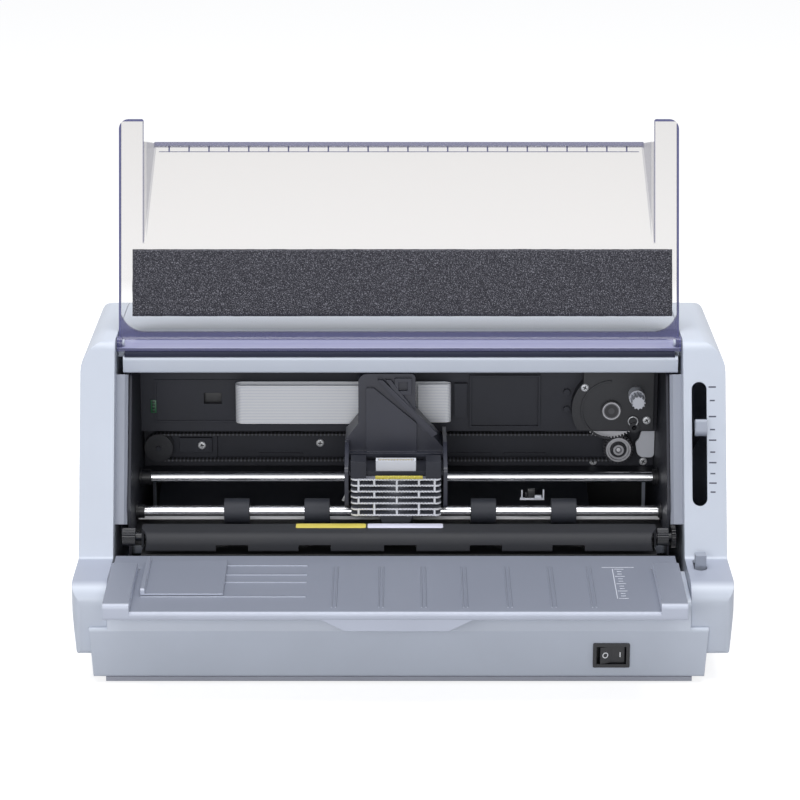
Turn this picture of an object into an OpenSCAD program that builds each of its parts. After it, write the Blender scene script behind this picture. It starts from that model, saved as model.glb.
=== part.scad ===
// Flatbed dot matrix printer with its clear front cover raised.
// Millimetres. X runs across the printer, -Y is the front, +Z is up.
// The origin is on the floor under the middle of the whole printer.

/* [Housing] */
// Width over both side cheeks
body_w = 490; // [480:1:504]
// Depth from the tray's front lip to the rear panel
body_d = 370; // [362:1:384]
// Height of the housing with the cover closed
body_h = 231.5; // [229.5:0.5:237]
// Width of the left cheek
cheek_l = 26; // [24:0.5:32]
// Width of the right cheek, which holds the levers
cheek_r = 32; // [30:0.5:38]
// Wall of the moulded housings
wall = 2.8; // [2:0.1:3.2]
// Height of the underside of the housings above the floor
housing_z = 5; // [4:0.5:7]
// Height of the cheeks' lower edges
side_z = 21.5; // [16:0.5:24]
// Height of the cheeks' front ledges
ledge_z = 76.5; // [73.5:0.5:78.5]
// Place of the cheeks' front faces
nose_y = -128; // [-134:1:-124]
// Place of the foot of the cheeks' slopes
foot_y = -70; // [-72:0.5:-68]
// Place of the bend between slope and top
bend_y = -12.5; // [-14:0.5:-11]
// Rounding of the bend between slope and top
bend_r = 12; // [8:1:14]
// Rounding of the cheeks' noses
nose_r = 16; // [10:1:18]
// Rounding of the housing's rear top edge
rear_r = 88; // [70:1:90]
// Rounding of the cheeks' outer top edges
side_r = 22; // [10:1:26]
// Gap between neighbouring housings
seam = 0.4; // [0.3:0.1:0.6]

/* [Base] */
// How far the base's front stands before the cheeks
base_step = 4; // [3:0.5:8]
// Overlap of the base beyond the opening at each side
base_wing = 13; // [8:0.5:16]
// How much narrower the base is at its foot, at each side
base_draft = 3; // [1:0.5:5]
// Height of the base's front corners above the floor
base_h = 43.5; // [40:0.5:48]
// Height of the rubber feet below the bottom plate
foot_h = 1.5; // [1:0.5:3]
// Diameter of the rubber feet
foot_d = 18; // [14:1:24]

/* [Front cover] */
// Angle through which the cover opens
cover_swing = 175.6; // [170:0.2:176]
// Height of the cover's pivots below the top surface
pivot_drop = 5; // [4.5:0.1:6]
// Distance of the cover's pivots behind the bend
pivot_back = 14; // [12:0.5:15]
// Thickness of the clear cover
cover_t = 2.5; // [2:0.1:3]
// Length of the cover's flange behind the bend
flange_l = 20; // [18:0.5:21]
// Distance from the bend to the cover's window
window_s = 76; // [74:1:79]
// Distance from the bend to the window's free edge
window_end = 155; // [145:1:157]
// Distance from the bend to the tips of the ears
ear_end = 172; // [165:1:173]
// Width of the ears beside the window
ear_w = 19; // [18:0.5:24]
// Slant of the window away from the cover's plane
window_flare = 12.8; // [10:0.2:14]
// Diameter of the cover's pivot pins
cover_pin_d = 5; // [4:0.5:5]
// Thickness of the sound foam
foam_t = 8; // [6:0.5:9]
// Distance from the bend to the sound foam
foam_s = 20; // [19:0.5:22]
// Height of the sound foam along the cover
foam_l = 52; // [46:1:54]
// Gap between the cover's edges and the cheeks
cover_gap = 0.5; // [0.4:0.1:1]

/* [Tray] */
// Height of the tray's front edge
tray_front_z = 75.5; // [74.5:0.5:77.5]
// Slope of the tray in degrees
tray_tilt = 3.2; // [2.6:0.1:3.6]
// Thickness of the tray's plate
tray_t = 2.5; // [2:0.1:3]
// Width of the tray's raised side borders
border_w = 19; // [16:1:22]
// Height of the side borders above the plate
border_h = 6; // [4:0.5:6.5]
// Width of the pull tab at the top
tab_w = 111; // [90:1:130]
// Travel of the edge guide
guide_travel = 60; // [40:1:60]
// Diameter of the tray's hinge pins
tray_pin_d = 4; // [3:0.5:4]

/* [Mechanism] */
// Diameter of the carriage shaft
shaft_d = 8; // [7:0.5:9]
// Diameter of the paper feed shaft
feed_d = 8; // [7:0.5:9]
// Diameter of the rubber feed rollers
roller_d = 19.6; // [18:0.2:19.6]
// Width of each feed roller
roller_w = 19.5; // [16:0.5:22]
// Spacing of the feed rollers beside the middle one
roller_pitch = 64.6; // [60:0.2:65]
// How much nearer the outermost rollers stand
roller_shift = 2.2; // [0:0.2:4]
// Number of feed rollers
roller_n = 5; // [3:2:5]
// Diameter of the front rollers
front_roller_d = 11.6; // [10:0.2:11.6]
// Height of the paper's path
paper_z = 80.5; // [80:0.1:80.7]
// Thickness of the steel side plates
side_t = 2; // [1.5:0.1:2.2]
// Radial clearance of turning shafts
run_fit = 0.05; // [0.02:0.01:0.08]
// Tooth size of the gears
gear_m = 0.8; // [0.8:0.1:0.8]
// Width of the toothed belt
belt_w = 6; // [5:0.5:7]
// Thickness of the toothed belt
belt_t = 1.6; // [1.2:0.1:1.8]
// Radius of the belt pulleys
pulley_r = 9.6; // [9:0.1:9.8]
// Width of the print head's heat sink
head_w = 68.5; // [60:0.5:72]
// Height of the print head's heat sink
head_h = 29.5; // [26:0.5:30]
// Number of fins on the heat sink
fin_n = 7; // [5:1:8]
// Spacing of the notches along the fins' front edges
fin_step = 2.4; // [2:0.2:4]
// Width of the flat cable
flex_w = 31; // [26:1:32]

/* [Hidden] */
$fn = 48;

pale = "#b6bfd2";
pale_dark = "#9398a8";
black = "#26272b";
steel = "#c9cbd0";

// Places across the printer
x_l = -body_w / 2 + cheek_l;
x_r = body_w / 2 - cheek_r;
mid = (x_l + x_r) / 2;
mech_x = mid + 1;
front_y = -body_d / 2;
rear_y = body_d / 2;
base_y = nose_y - base_step;
base_l = x_l - base_wing;
base_r = x_r + base_wing;

// The slope that the closed cover continues
slope_a = atan2(body_h - ledge_z, bend_y - foot_y);
slope_down = [-cos(slope_a), -sin(slope_a)];
slope_out = [-sin(slope_a), cos(slope_a)];
function on_slope(s, n = 0) = [bend_y, body_h] + s * slope_down + n * slope_out;
pivot = [bend_y + pivot_back, body_h - pivot_drop];
cover_rear_y = bend_y + flange_l;

// Side rails beside the opening, and the side plates inside them
rail_w = 9.3;
rail_n = cover_t + foam_t + 1;
rail_t = 3;
plate_l = x_l + rail_w + seam;
plate_r = x_r - rail_w - seam;
in_l = plate_l + side_t;
in_r = plate_r - side_t;
gear_x = plate_r + 0.7;
gear_w = 3;

// Shafts: [y, z]
main_axis = [38, paper_z + 26.6];
feed_axis = [3, paper_z + roller_d / 2 + 0.2];
feed_teeth = 50;
idler_teeth = 34;
front_teeth = 20;
pinion_teeth = 30;
train_a = 182.6;
idler_axis = feed_axis + mesh(feed_teeth, idler_teeth) * [cos(train_a), sin(train_a)];
front_axis = idler_axis + mesh(idler_teeth, front_teeth) * [cos(train_a), sin(train_a)];
pinion_a = -80;
pinion_axis = feed_axis + mesh(feed_teeth, pinion_teeth) * [cos(pinion_a), sin(pinion_a)];

// Belt drive: places in X and Z, in the plane of the belt
belt_y = 75;
belt_z = paper_z + 40.4;
belt_in_r = pulley_r + 0.3;
drive_x = in_r - 29.5;
idler_x = in_l + 12.5;
drive_teeth = 28;
ribbon_teeth = 69;
ribbon_front_teeth = 34;
spindle_teeth = 24;
ribbon_a = 101.5;
ribbon_at = [drive_x, belt_z] + mesh(drive_teeth, ribbon_teeth) * [cos(ribbon_a), sin(ribbon_a)];
spindle_a = 33.7;
spindle_at = ribbon_at + mesh(ribbon_front_teeth, spindle_teeth) * [cos(spindle_a), sin(spindle_a)];
ring_at = ribbon_at + [18.5, -14.5];

// Wall behind the carriage: a sheet with the belt's channel folded into it
wall_y = 62;
wall_t = 2.5;
wall_top = body_h - 27;
channel_top = belt_z + 19.4;
channel_back = 88;
channel_low = belt_z - 21.4;

// Carriage
head_x = mid - 2.3;
head_front = -42;
head_z = feed_axis.y + roller_d / 2 + 0.9;
cradle_z = head_z + head_h;
car_l = head_x - 39.2;
car_r = head_x + 39.3;

// Tray
tray_l = x_l + 3;
tray_r = x_r - 8.3;
tray_back = -77;
border_back = -105;
tray_axis = [-82, tray_z(-82) - tray_t - tray_pin_d / 2 - 1.2];
function tray_z(y) = tray_front_z + (y - front_y) * tan(tray_tilt);

// Levers
slot_w = 11.4;
slot_s0 = 31.3;
slot_s1 = 125.5;
lever_r = 100;
lever_s = 67.1;
lever_axis = on_slope((slot_s0 + slot_s1) / 2, -lever_r);
lever_x = x_r + 11.9;
release_axis = [foot_y - 18, ledge_z - 36];
release_x = x_r + 9.9;
release_w = 8;

// ---------- Helpers ----------

function unit(v) = v / norm(v);

// Points of an arc that rounds the corner b between a and c
function corner(a, b, c, r, n = 8) =
    r <= 0 ? [b] :
    let (u = unit(a - b), v = unit(c - b), ang = acos(u * v),
         t = r / tan(ang / 2), m = b + unit(u + v) * r / sin(ang / 2),
         p = b + u * t - m, q = b + v * t - m,
         a0 = atan2(p.y, p.x), turn = (atan2(q.y, q.x) - a0 + 540) % 360 - 180)
    [for (k = [0:n]) m + r * [cos(a0 + turn * k / n), sin(a0 + turn * k / n)]];

// Outline from [x, y, radius] corners
function rounded(p, n = 8) =
    let (c = len(p), at = [for (i = [0:c - 1]) [p[i].x, p[i].y]])
    [for (i = [0:c - 1])
        each corner(at[(i + c - 1) % c], at[i], at[(i + 1) % c], len(p[i]) > 2 ? p[i].z : 0, n)];

// The same outline moved inwards by d; the corners run anticlockwise
function inset(p, d) =
    let (c = len(p))
    [for (i = [0:c - 1])
        let (a = p[(i + c - 1) % c], b = p[i], e = p[(i + 1) % c],
             u = unit(b - a), v = unit(e - b), nu = [-u.y, u.x], nv = [-v.y, v.x])
        b + d * (nu + nv) / (1 + nu * nv)];

// Extrudes a [y, z] outline along X
module x_prism(x0, x1) {
    translate([x0, 0, 0]) rotate([90, 0, 90]) linear_extrude(x1 - x0) children();
}

// Extrudes an [x, z] outline along Y
module y_prism(y0, y1) {
    translate([0, y1, 0]) rotate([90, 0, 0]) linear_extrude(y1 - y0) children();
}

module x_rod(x0, x1, at, r) {
    translate([x0, at.x, at.y]) rotate([0, 90, 0]) cylinder(h = x1 - x0, r = r);
}

module y_rod(y0, y1, at, r) {
    translate([at.x, y1, at.y]) rotate([90, 0, 0]) cylinder(h = y1 - y0, r = r);
}

// Box from its low corner to its high corner
module block(a, b) {
    translate(a) cube(b - a);
}

// Places children on the slope: local +Y runs up the slope, +Z out of it
module on_panel(s, n = 0) {
    translate([0, on_slope(s, n).x, on_slope(s, n).y]) rotate([slope_a, 0, 0]) children();
}

// Slot outline with round ends, centred, long in Y
module stadium(l, w) {
    square([w, l - w], center = true);
    for (k = [-1, 1]) translate([0, k * (l - w) / 2]) circle(d = w);
}

// Centre distance of two meshed gears
function mesh(a, b) = gear_m * (a + b) / 2;

// Phase of a gear of b teeth that meshes, in the direction dir, with one of a teeth at the given phase
function meshed(a, phase, dir, b) = dir + 180 + (180 - (phase - dir) * a) / b;

// Gear outline with one tooth centred on the angle phase
module gear_2d(teeth, phase = 0) {
    r = gear_m * teeth / 2;
    step = 360 / teeth;
    root = r - 1.1 * gear_m;
    tip = r + 0.8 * gear_m;
    polygon([for (i = [0:teeth - 1], e = [[root, -0.3], [tip, -0.11], [tip, 0.11], [root, 0.3]])
        let (a = phase + (i + e.y) * step) e.x * [cos(a), sin(a)]]);
}

// Gear on an X axis; angles run from +Y towards +Z
module x_gear(x0, w, at, teeth, phase, bore) {
    translate([0, at.x, at.y]) difference() {
        x_prism(x0, x0 + w) gear_2d(teeth, phase);
        x_rod(x0 - 1, x0 + w + 1, [0, 0], bore);
    }
}

// Gear on a Y axis; angles run from +X towards +Z
module y_gear(y0, w, at, teeth, phase) {
    translate([at.x, 0, at.y]) y_prism(y0, y0 + w) gear_2d(teeth, phase);
}

// ---------- Housing ----------

function cheek_side(low) = rounded([
    [nose_y, low, 4], [rear_y, low, 4], [rear_y, body_h, rear_r],
    [bend_y, body_h, bend_r], [foot_y, ledge_z, 4], [nose_y, ledge_z - 1.5, nose_r]]);

// Space inside the three outlines of a cheek, from x = 0 at its inner face
module cheek_form(w, low, d) {
    intersection() {
        x_prism(-1, w + 1) polygon(inset(cheek_side(low), d));
        y_prism(front_y - 10, rear_y + 10)
            polygon(inset(rounded([[0, low, 0], [w - base_draft, low, 3], [w, low + 34, 12],
                                   [w, body_h, side_r], [0, body_h, 0]]), d));
        translate([0, 0, -10]) linear_extrude(body_h + 20)
            polygon(inset(rounded([[0, nose_y, 0], [w, nose_y, 8], [w, rear_y, 26], [0, rear_y, 0]]), d));
    }
}

module cheek_shell(w) {
    difference() {
        cheek_form(w, side_z, 0);
        cheek_form(w, side_z, wall);
    }
    x_rod(-6, 0.1, pivot, cover_pin_d / 2);
}

// The left cheek is open inwards, where the side plate covers it
module cheek_left() {
    color(pale) translate([x_l, 0, 0]) mirror([1, 0, 0]) difference() {
        cheek_shell(cheek_l);
        block([-1, foot_y + 60, ledge_z], [wall + 1, rear_y - rear_r, body_h - 45]);
    }
}

module cheek_right() {
    color(pale) {
        difference() {
            translate([x_r, 0, 0]) cheek_shell(cheek_r);
            translate([lever_x, 0, 0]) on_panel((slot_s0 + slot_s1) / 2, -10)
                linear_extrude(20) stadium(slot_s1 - slot_s0, slot_w);
            translate([release_x, release_axis.x + 5, ledge_z - 10])
                linear_extrude(20) stadium(24, release_w + 1.4);
        }
        x_rod(x_r + wall - 0.1, lever_x + 4, lever_axis, 3);
        x_rod(x_r + wall - 0.1, release_x + 4, release_axis, 2.5);
    }
}

// Grey landings under the edges of the closed cover's foam
rail_s0 = 24.5;
rail_s1 = 139;
module opening_rails() {
    color(pale_dark) for (side = [0, 1]) {
        translate([side == 0 ? x_l : x_r, 0, 0]) mirror([side, 0, 0]) on_panel(0)
            translate([0, -rail_s0, 0]) y_prism(rail_s0 - rail_s1, 0)
                polygon([[0, -rail_n - rail_t], [rail_w, -rail_n - rail_t],
                         [rail_w - 2.5, -rail_n], [0, -rail_n]]);
    }
}

// Channel-section beam under the cover's hinge line
beam_y = -8;
beam_z0 = wall_top + 0.4;
beam_z1 = beam_z0 + 12.4;
module cover_beam() {
    color(pale) difference() {
        x_prism(x_l + 5.3, x_r - 2.9)
            polygon(rounded([[beam_y, beam_z0, 1.5], [beam_y + 15, beam_z0, 0],
                             [beam_y + 15, beam_z1, 0], [beam_y, beam_z1, 2.5]]));
        x_prism(x_l + 7.5, x_r - 5)
            polygon([[beam_y + wall, beam_z0 + 2], [beam_y + 30, beam_z0 + 2],
                     [beam_y + 30, beam_z1 - 2.5], [beam_y + wall, beam_z1 - 2.5]]);
    }
}

// Top and rear cover between the cheeks
rear_split_z = body_h - rear_r - 8;
trough_z = pivot.y - 6;
trough_y = pivot.x + 19;
module rear_cover() {
    front = cover_rear_y + 1;
    color(pale) difference() {
        x_prism(x_l + seam, x_r - seam)
            polygon(rounded([[front, rear_split_z, 0], [rear_y, rear_split_z, 0],
                             [rear_y, body_h, rear_r], [trough_y + 3, body_h, 1.5],
                             [trough_y, trough_z, 1.5], [front, trough_z, 1.5]]));
        x_prism(x_l + seam - 1, x_r - seam + 1)
            polygon(rounded([[front + wall, rear_split_z - 20, 0], [rear_y - wall, rear_split_z - 20, 0],
                             [rear_y - wall, body_h - wall, rear_r - wall],
                             [trough_y + wall + 2, body_h - wall, 0],
                             [trough_y + wall, trough_z - wall, 0], [front + wall, trough_z - wall, 0]]));
        block([x_l, front - 1, rear_split_z - 1], [x_r, front + wall + 1, trough_z - 7]);
    }
}

slot_z0 = paper_z + 37;
slot_z1 = slot_z0 + 12;
slot_l = in_l + 18;
slot_r = in_r - 58;
module rear_panel() {
    color(pale) difference() {
        block([x_l + seam, rear_y - wall, housing_z], [x_r - seam, rear_y, rear_split_z - seam]);
        block([slot_l, rear_y - wall - 1, slot_z0], [slot_r, rear_y + 1, slot_z1]);
        block([inlet_x - 14, rear_y - wall - 1, 25], [inlet_x + 14, rear_y + 1, 45.4]);
        block([port_x - 31, rear_y - wall - 1, 24], [port_x + 31, rear_y + 1, 38]);
        block([usb_x - 7, rear_y - wall - 1, 24], [usb_x + 7, rear_y + 1, 37]);
        for (i = [0:11]) translate([mid - 120 + i * 9, rear_y, 70])
            block([-1.8, -wall - 1, -14], [1.8, 1, 14]);
    }
}

deck_back = -76;
deck_z = tray_axis.y - 7;
pan_back = rear_y - wall - seam;
switch_at = [base_r - 71.8, 22.6];

// Keeps what lies inside the base's drafted sides
module drafted(d) {
    intersection() {
        children();
        y_prism(front_y, rear_y)
            polygon([[base_l + base_draft + d, housing_z - 9], [base_r - base_draft - d, housing_z - 9],
                     [base_r - d, base_h], [base_l + d, base_h]]);
    }
}

// Low pan that carries the cheeks, with a raised front and a tub under the tray
module base() {
    color(pale_dark) {
        difference() {
            union() {
                drafted(0) x_prism(base_l, base_r)
                    polygon(rounded([[base_y + 1, housing_z, 2], [pan_back, housing_z, 0],
                                     [pan_back, side_z - seam, 0], [nose_y - seam, side_z - seam, 0],
                                     [nose_y - seam, base_h, 0.5], [base_y, base_h, 2.5]]));
                x_prism(x_l + seam, x_r - seam)
                    polygon(rounded([[base_y + 1, housing_z, 2], [deck_back, housing_z, 0],
                                     [deck_back, deck_z, 0], [base_y, deck_z - 4, 5]]));
            }
            drafted(wall) x_prism(base_l, base_r)
                polygon([[base_y + wall, housing_z - 9], [pan_back - wall, housing_z - 9],
                         [pan_back - wall, side_z - seam - wall], [base_y + wall, side_z - seam - wall]]);
            x_prism(x_l + seam + wall, x_r - seam - wall)
                polygon([[base_y + wall, housing_z - 9], [deck_back - wall, housing_z - 9],
                         [deck_back - wall, deck_z - wall], [base_y + wall, deck_z - 4 - wall]]);
            block([x_l + seam + wall, deck_back - wall - 1, housing_z - 9],
                  [x_r - seam - wall, deck_back + 1, base_h - 2]);
            block([x_l + seam + wall, deck_back, housing_z - 9], [x_r - seam - wall, pan_back + 1, side_z]);
            y_prism(base_y - 2, base_y + 8) translate(switch_at) square([25.2, 17.2], center = true);
        }
        for (x = [x_l + seam, x_r - seam - wall])
            block([x, deck_back - 0.1, side_z - seam - 1], [x + wall, pan_back, base_h - 2]);
        for (side = [-1, 1]) {
            x = mid + side * 150;
            x_prism(x - 2, x + 2)
                polygon([[tray_axis.x - 5, deck_z - 1], [tray_axis.x + 5, deck_z - 1],
                         [tray_axis.x + 2.8, tray_axis.y], [tray_axis.x + 1.5, tray_axis.y + 2.6],
                         [tray_axis.x - 1.5, tray_axis.y + 2.6], [tray_axis.x - 2.8, tray_axis.y]]);
            x_rod(min(x, x - side * 10), max(x, x - side * 10), tray_axis, tray_pin_d / 2);
        }
    }
}

module bottom_plate() {
    color(pale_dark) difference() {
        block([base_l + 11.5, base_y + 1.5, foot_h], [base_r - 11.5, rear_y - 2, housing_z]);
        for (i = [0:9], j = [0, 1]) translate([mid - 160 + i * 9, -20 + j * 60, foot_h - 1])
            linear_extrude(housing_z) stadium(44, 4);
    }
}

module rubber_feet() {
    color("#1c1c1e") for (x = [base_l + 34, base_r - 34], y = [base_y + 24, rear_y - 26])
        translate([x, y, 0]) cylinder(h = foot_h, d = foot_d);
}

// ---------- Front cover ----------

// Turns a closed cover into the raised one
module raised() {
    translate([0, pivot.x, pivot.y]) rotate([-cover_swing, 0, 0])
        translate([0, -pivot.x, -pivot.y]) children();
}

cover_l = x_l + cover_gap;
cover_r = x_r - cover_gap;
gusset_w = 7;
window_d = window_end - window_s;
window_l = window_d / cos(window_flare);
gusset_a = atan2(window_d * tan(window_flare), gusset_w);
gusset_l = gusset_w / cos(gusset_a);
inner_bend = [bend_y, body_h] - cover_t * ([0, 1] + slope_out) / (1 + slope_out.y);

module front_cover() {
    ear_l = cover_l + ear_w;
    ear_r = cover_r - ear_w;
    color([0.75, 0.76, 0.86, 0.45]) raised() difference() {
        union() {
            x_prism(cover_l, cover_r)
                polygon(rounded([[cover_rear_y, body_h, 0], [bend_y, body_h, bend_r],
                                 on_slope(window_s), on_slope(window_s, -cover_t),
                                 [inner_bend.x, inner_bend.y, bend_r - cover_t],
                                 [cover_rear_y, body_h - cover_t, 0]]));
            on_panel(0, -cover_t) linear_extrude(cover_t) for (x = [cover_l, cover_r]) {
                polygon(rounded([[x, -ear_end, 7.5], [x + (x < mid ? ear_w : -ear_w), -ear_end, 1.5],
                                 [x + (x < mid ? ear_w : -ear_w), 0.1 - window_s, 0], [x, 0.1 - window_s, 0]]));
            }
            on_panel(window_s - 0.1) rotate([-window_flare, 0, 0]) translate([0, 0, -cover_t]) {
                linear_extrude(cover_t)
                    polygon([[ear_l, 1.5], [ear_r, 1.5],
                             [ear_r - gusset_w, -window_l], [ear_l + gusset_w, -window_l]]);
                block([ear_l + gusset_w, -window_l, -2], [ear_r - gusset_w, 3 - window_l, cover_t]);
            }
            for (side = [0, 1]) translate([side == 0 ? ear_l : ear_r, 0, 0]) mirror([side, 0, 0])
                on_panel(window_s - 0.1) rotate([0, -gusset_a, 0]) translate([0, 0, -cover_t])
                    linear_extrude(cover_t) polygon([[-0.5, 0], [-0.5, -window_d], [gusset_l, -window_d]]);
            for (x = [cover_l, cover_r - 4]) x_rod(x, x + 4, pivot, pivot_drop - 0.4);
        }
        for (x = [cover_l, cover_r - 4]) x_rod(x - 1, x + 5, pivot, cover_pin_d / 2 + run_fit);
    }
}

module cover_foam() {
    color("#45454d") raised() on_panel(foam_s + foam_l, -cover_t - foam_t)
        block([cover_l + 10.6, 0, 0], [cover_r - 5.4, foam_l, foam_t]);
}

// ---------- Tray ----------

rail_ys = [-98, -116, -130, -157];
rib_xs = [-47, -13, 18, 48, 80, 112, 141];
module front_tray() {
    lip_z = tray_front_z - 6.5;
    color(pale_dark) difference() {
        union() {
            x_prism(tray_l, tray_r)
                polygon(rounded([[front_y, lip_z, 2.5], [front_y + 4, lip_z, 1],
                                 [front_y + 4, tray_z(front_y + 4) - tray_t, 0],
                                 [tray_back, tray_z(tray_back) - tray_t, 0],
                                 [tray_back, tray_z(tray_back), 1], [front_y, tray_front_z, 3]]));
            for (x = [tray_l, tray_r - border_w]) x_prism(x, x + border_w)
                polygon(rounded([[front_y, lip_z, 2.5], [front_y + 4, lip_z, 1],
                                 [front_y + 4, tray_front_z - 2, 0],
                                 [border_back, tray_z(border_back) - 1, 0],
                                 [border_back, tray_z(border_back) + border_h, 2],
                                 [front_y, tray_front_z + border_h, 4]]));
            y_prism(front_y + 0.4, front_y + 3)
                polygon(rounded([[mid - 1.5 - tab_w / 2 + 18, lip_z - 8, 4],
                                 [mid - 1.5 + tab_w / 2 - 18, lip_z - 8, 4],
                                 [mid - 1.5 + tab_w / 2, lip_z + 1, 0],
                                 [mid - 1.5 - tab_w / 2, lip_z + 1, 0]]));
            for (y = rail_ys) x_prism(tray_l + border_w + 6, tray_l + border_w + 126)
                translate([y, tray_z(y) - 0.5]) square([1.6, 1.3]);
            for (x = rib_xs, k = [-1.5, 1.5]) x_prism(mid + x + k - 0.5, mid + x + k + 0.5)
                polygon([[-176, tray_z(-176) - 0.5], [-100, tray_z(-100) - 0.5],
                         [-100, tray_z(-100) + 0.6], [-176, tray_z(-176) + 0.6]]);
            for (side = [-1, 1]) {
                x = mid + side * 150 - side * (2.3 + 3);
                x_prism(x - 3, x + 3) {
                    translate(tray_axis) circle(r = tray_pin_d / 2 + 1.6);
                    translate([tray_axis.x - 2.5, tray_axis.y]) square([5, 3.4]);
                }
            }
        }
        for (x = [tray_l - 1, tray_r - border_w - 2])
            block([x, border_back + 0.5, 40], [x + border_w + 3, tray_back + 1, 80]);
        for (side = [-1, 1])
            x_rod(mid + side * 145 - 6, mid + side * 145 + 6, tray_axis, tray_pin_d / 2 + run_fit);
    }
}

module edge_guide() {
    low = 1.1;
    x0 = tray_l + border_w + 6;
    color(pale_dark) {
        x_prism(x0, x0 + 60)
            polygon([[-156, tray_z(-156) + low], [-92, tray_z(-92) + low],
                     [-92, tray_z(-92) + low + 1.4], [-156, tray_z(-156) + low + 1.4]]);
        x_prism(x0, x0 + 3)
            polygon(rounded([[-156, tray_z(-156) + low, 0], [-92, tray_z(-92) + low, 0],
                             [-92, tray_z(-92) + 6, 2], [-156, tray_z(-156) + 6, 2]]));
    }
}

// ---------- Frame and paper path ----------

// Side plate outline: the front edge follows the cover
module plate_2d() {
    difference() {
        polygon(rounded([[-45, housing_z, 0], [150, housing_z, 0], [150, wall_top - 69, 8], [125, wall_top, 8],
                         [-4, wall_top, 6], [-45, paper_z + 27, 8]]));
        translate(main_axis) circle(d = shaft_d);
        translate(feed_axis) circle(r = feed_d / 2 + run_fit);
    }
}

module frame_plate_left() {
    color("#54565c") x_prism(plate_l, in_l) plate_2d();
}

module frame_plate_right() {
    color("#54565c") {
        x_prism(in_r, plate_r) difference() {
            plate_2d();
            translate(pinion_axis) circle(r = 4);
        }
        x_rod(plate_r - 0.1, gear_x + gear_w + 0.4, idler_axis, 2.5);
    }
}

// Raised rim of a rectangle on the wall's front, from its low corner to its high corner in [x, z]
module wall_rim(a, b, t) {
    y_prism(wall_y - t, wall_y + 0.1) difference() {
        translate(a) square(b - a);
        translate(a + [1.6, 1.6]) square(b - a - [3.2, 3.2]);
    }
}

module carriage_wall() {
    color(black) difference() {
        union() {
            x_prism(in_l, in_r)
                polygon([[wall_y, wall_top], [wall_y, channel_top - wall_t],
                         [channel_back - wall_t, channel_top - wall_t],
                         [channel_back - wall_t, channel_low + wall_t],
                         [70, channel_low + wall_t], [70, channel_low],
                         [channel_back, channel_low], [channel_back, channel_top],
                         [wall_y + wall_t, channel_top], [wall_y + wall_t, wall_top]]);
            block([cable_end - 10, 57.9, flex_z - 14], [cable_end, wall_y + 0.1, flex_z + 14]);
            wall_rim([cable_end + 2, channel_top + 0.8], [cable_end + 58, channel_top + 44], 2.4);
            wall_rim([in_l + 11, channel_top + 5], [in_l + 82, channel_top + 40], 1.2);
            for (x = [cable_end + 92, ribbon_at.x - 34.5], k = [0, 1])
                y_rod(wall_y - 3, wall_y + 0.1, [x, channel_top + 16 + 14 * k], 2.6);
            for (x = [idler_x + 80, mid + 40, mid + 84], z = [belt_z - 9, belt_z + 9])
                block([x, channel_back - wall_t - 2, z - 1], [x + 34, channel_back - wall_t + 0.1, z + 1]);
        }
        y_rod(channel_back - 10, channel_back + 1, [drive_x, belt_z], 7);
        y_rod(wall_y - 1, wall_y + 4, ribbon_at, 3 + run_fit);
        y_rod(wall_y - 1, wall_y + 4, spindle_at, 2.5 + run_fit);
        block([ribbon_at.x - 29.5, wall_y + 3, channel_top - wall_t - 1],
              [ribbon_at.x + 29.5, wall_y + 12, channel_top + 1]);
        translate([in_l + 50, wall_y - 1, channel_top + 20]) cube([14, 6, 9]);
    }
}

roller_xs = [for (i = [-(roller_n - 1) / 2:(roller_n - 1) / 2])
    mech_x + i * roller_pitch - sign(i) * max(abs(i) - 1, 0) * roller_shift];
guide_l = cover_l + ear_w + 1.3;
guide_r = cover_r - ear_w - 1.3;
guide_z0 = paper_z + 2.3;
guide_z1 = paper_z + 15.5;
module front_guide() {
    color(black) difference() {
        x_prism(guide_l, guide_r)
            polygon(rounded([[-72, guide_z0, 1], [-44, guide_z0, 0], [-44, guide_z1, 2], [-72, guide_z1, 8]]));
        x_prism(guide_l + 2, guide_r - 2)
            polygon(rounded([[-70, guide_z0 - 5, 0], [-46, guide_z0 - 5, 0],
                             [-46, guide_z1 - 1.5, 1], [-70, guide_z1 - 1.5, 6.5]]));
        for (x = roller_xs) block([x - 12.2, -75, guide_z0 - 1], [x + 12.2, -69, guide_z0 + 5.2]);
        x_rod(guide_l - 1, guide_r + 1, front_axis, 3 + run_fit);
        for (side = [0, 1]) translate([side == 0 ? guide_l - 1.3 : guide_r + 1.3, 0, 0]) mirror([side, 0, 0])
            on_panel(window_s - 0.1) rotate([0, -gusset_a, 0])
                block([-30, -window_d - 60, -cover_t - 1.2], [gusset_l + 4, 0, 40]);
    }
}

// Paper table on both sides of the platen, as wide as the side plates allow
module lower_guide() {
    t = 2.5;
    color(black) {
        difference() {
            block([in_l, -71.5, paper_z - t], [in_r, -34.4, paper_z]);
            for (x = [[in_l - 1, guide_l + 0.4], [guide_r - 0.4, in_r + 1]])
                block([x[0], -72, paper_z - t - 1], [x[1], -43, paper_z + 1]);
        }
        block([in_l, -13.6, paper_z - t], [in_r, 12.6, paper_z]);
        for (x = [in_l + 30, in_r - 60]) block([x, -70, housing_z], [x + 3, -52, paper_z - t]);
    }
}

module platen() {
    color(steel) block([in_l, -34, paper_z - 12], [in_r, -14, paper_z - 0.1]);
}

module steel_strip() {
    color(steel) x_prism(in_l, in_r)
        polygon([[13, paper_z - 3], [26, paper_z - 3], [26, paper_z + 0.3], [13, paper_z + 0.3]]);
}

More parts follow.
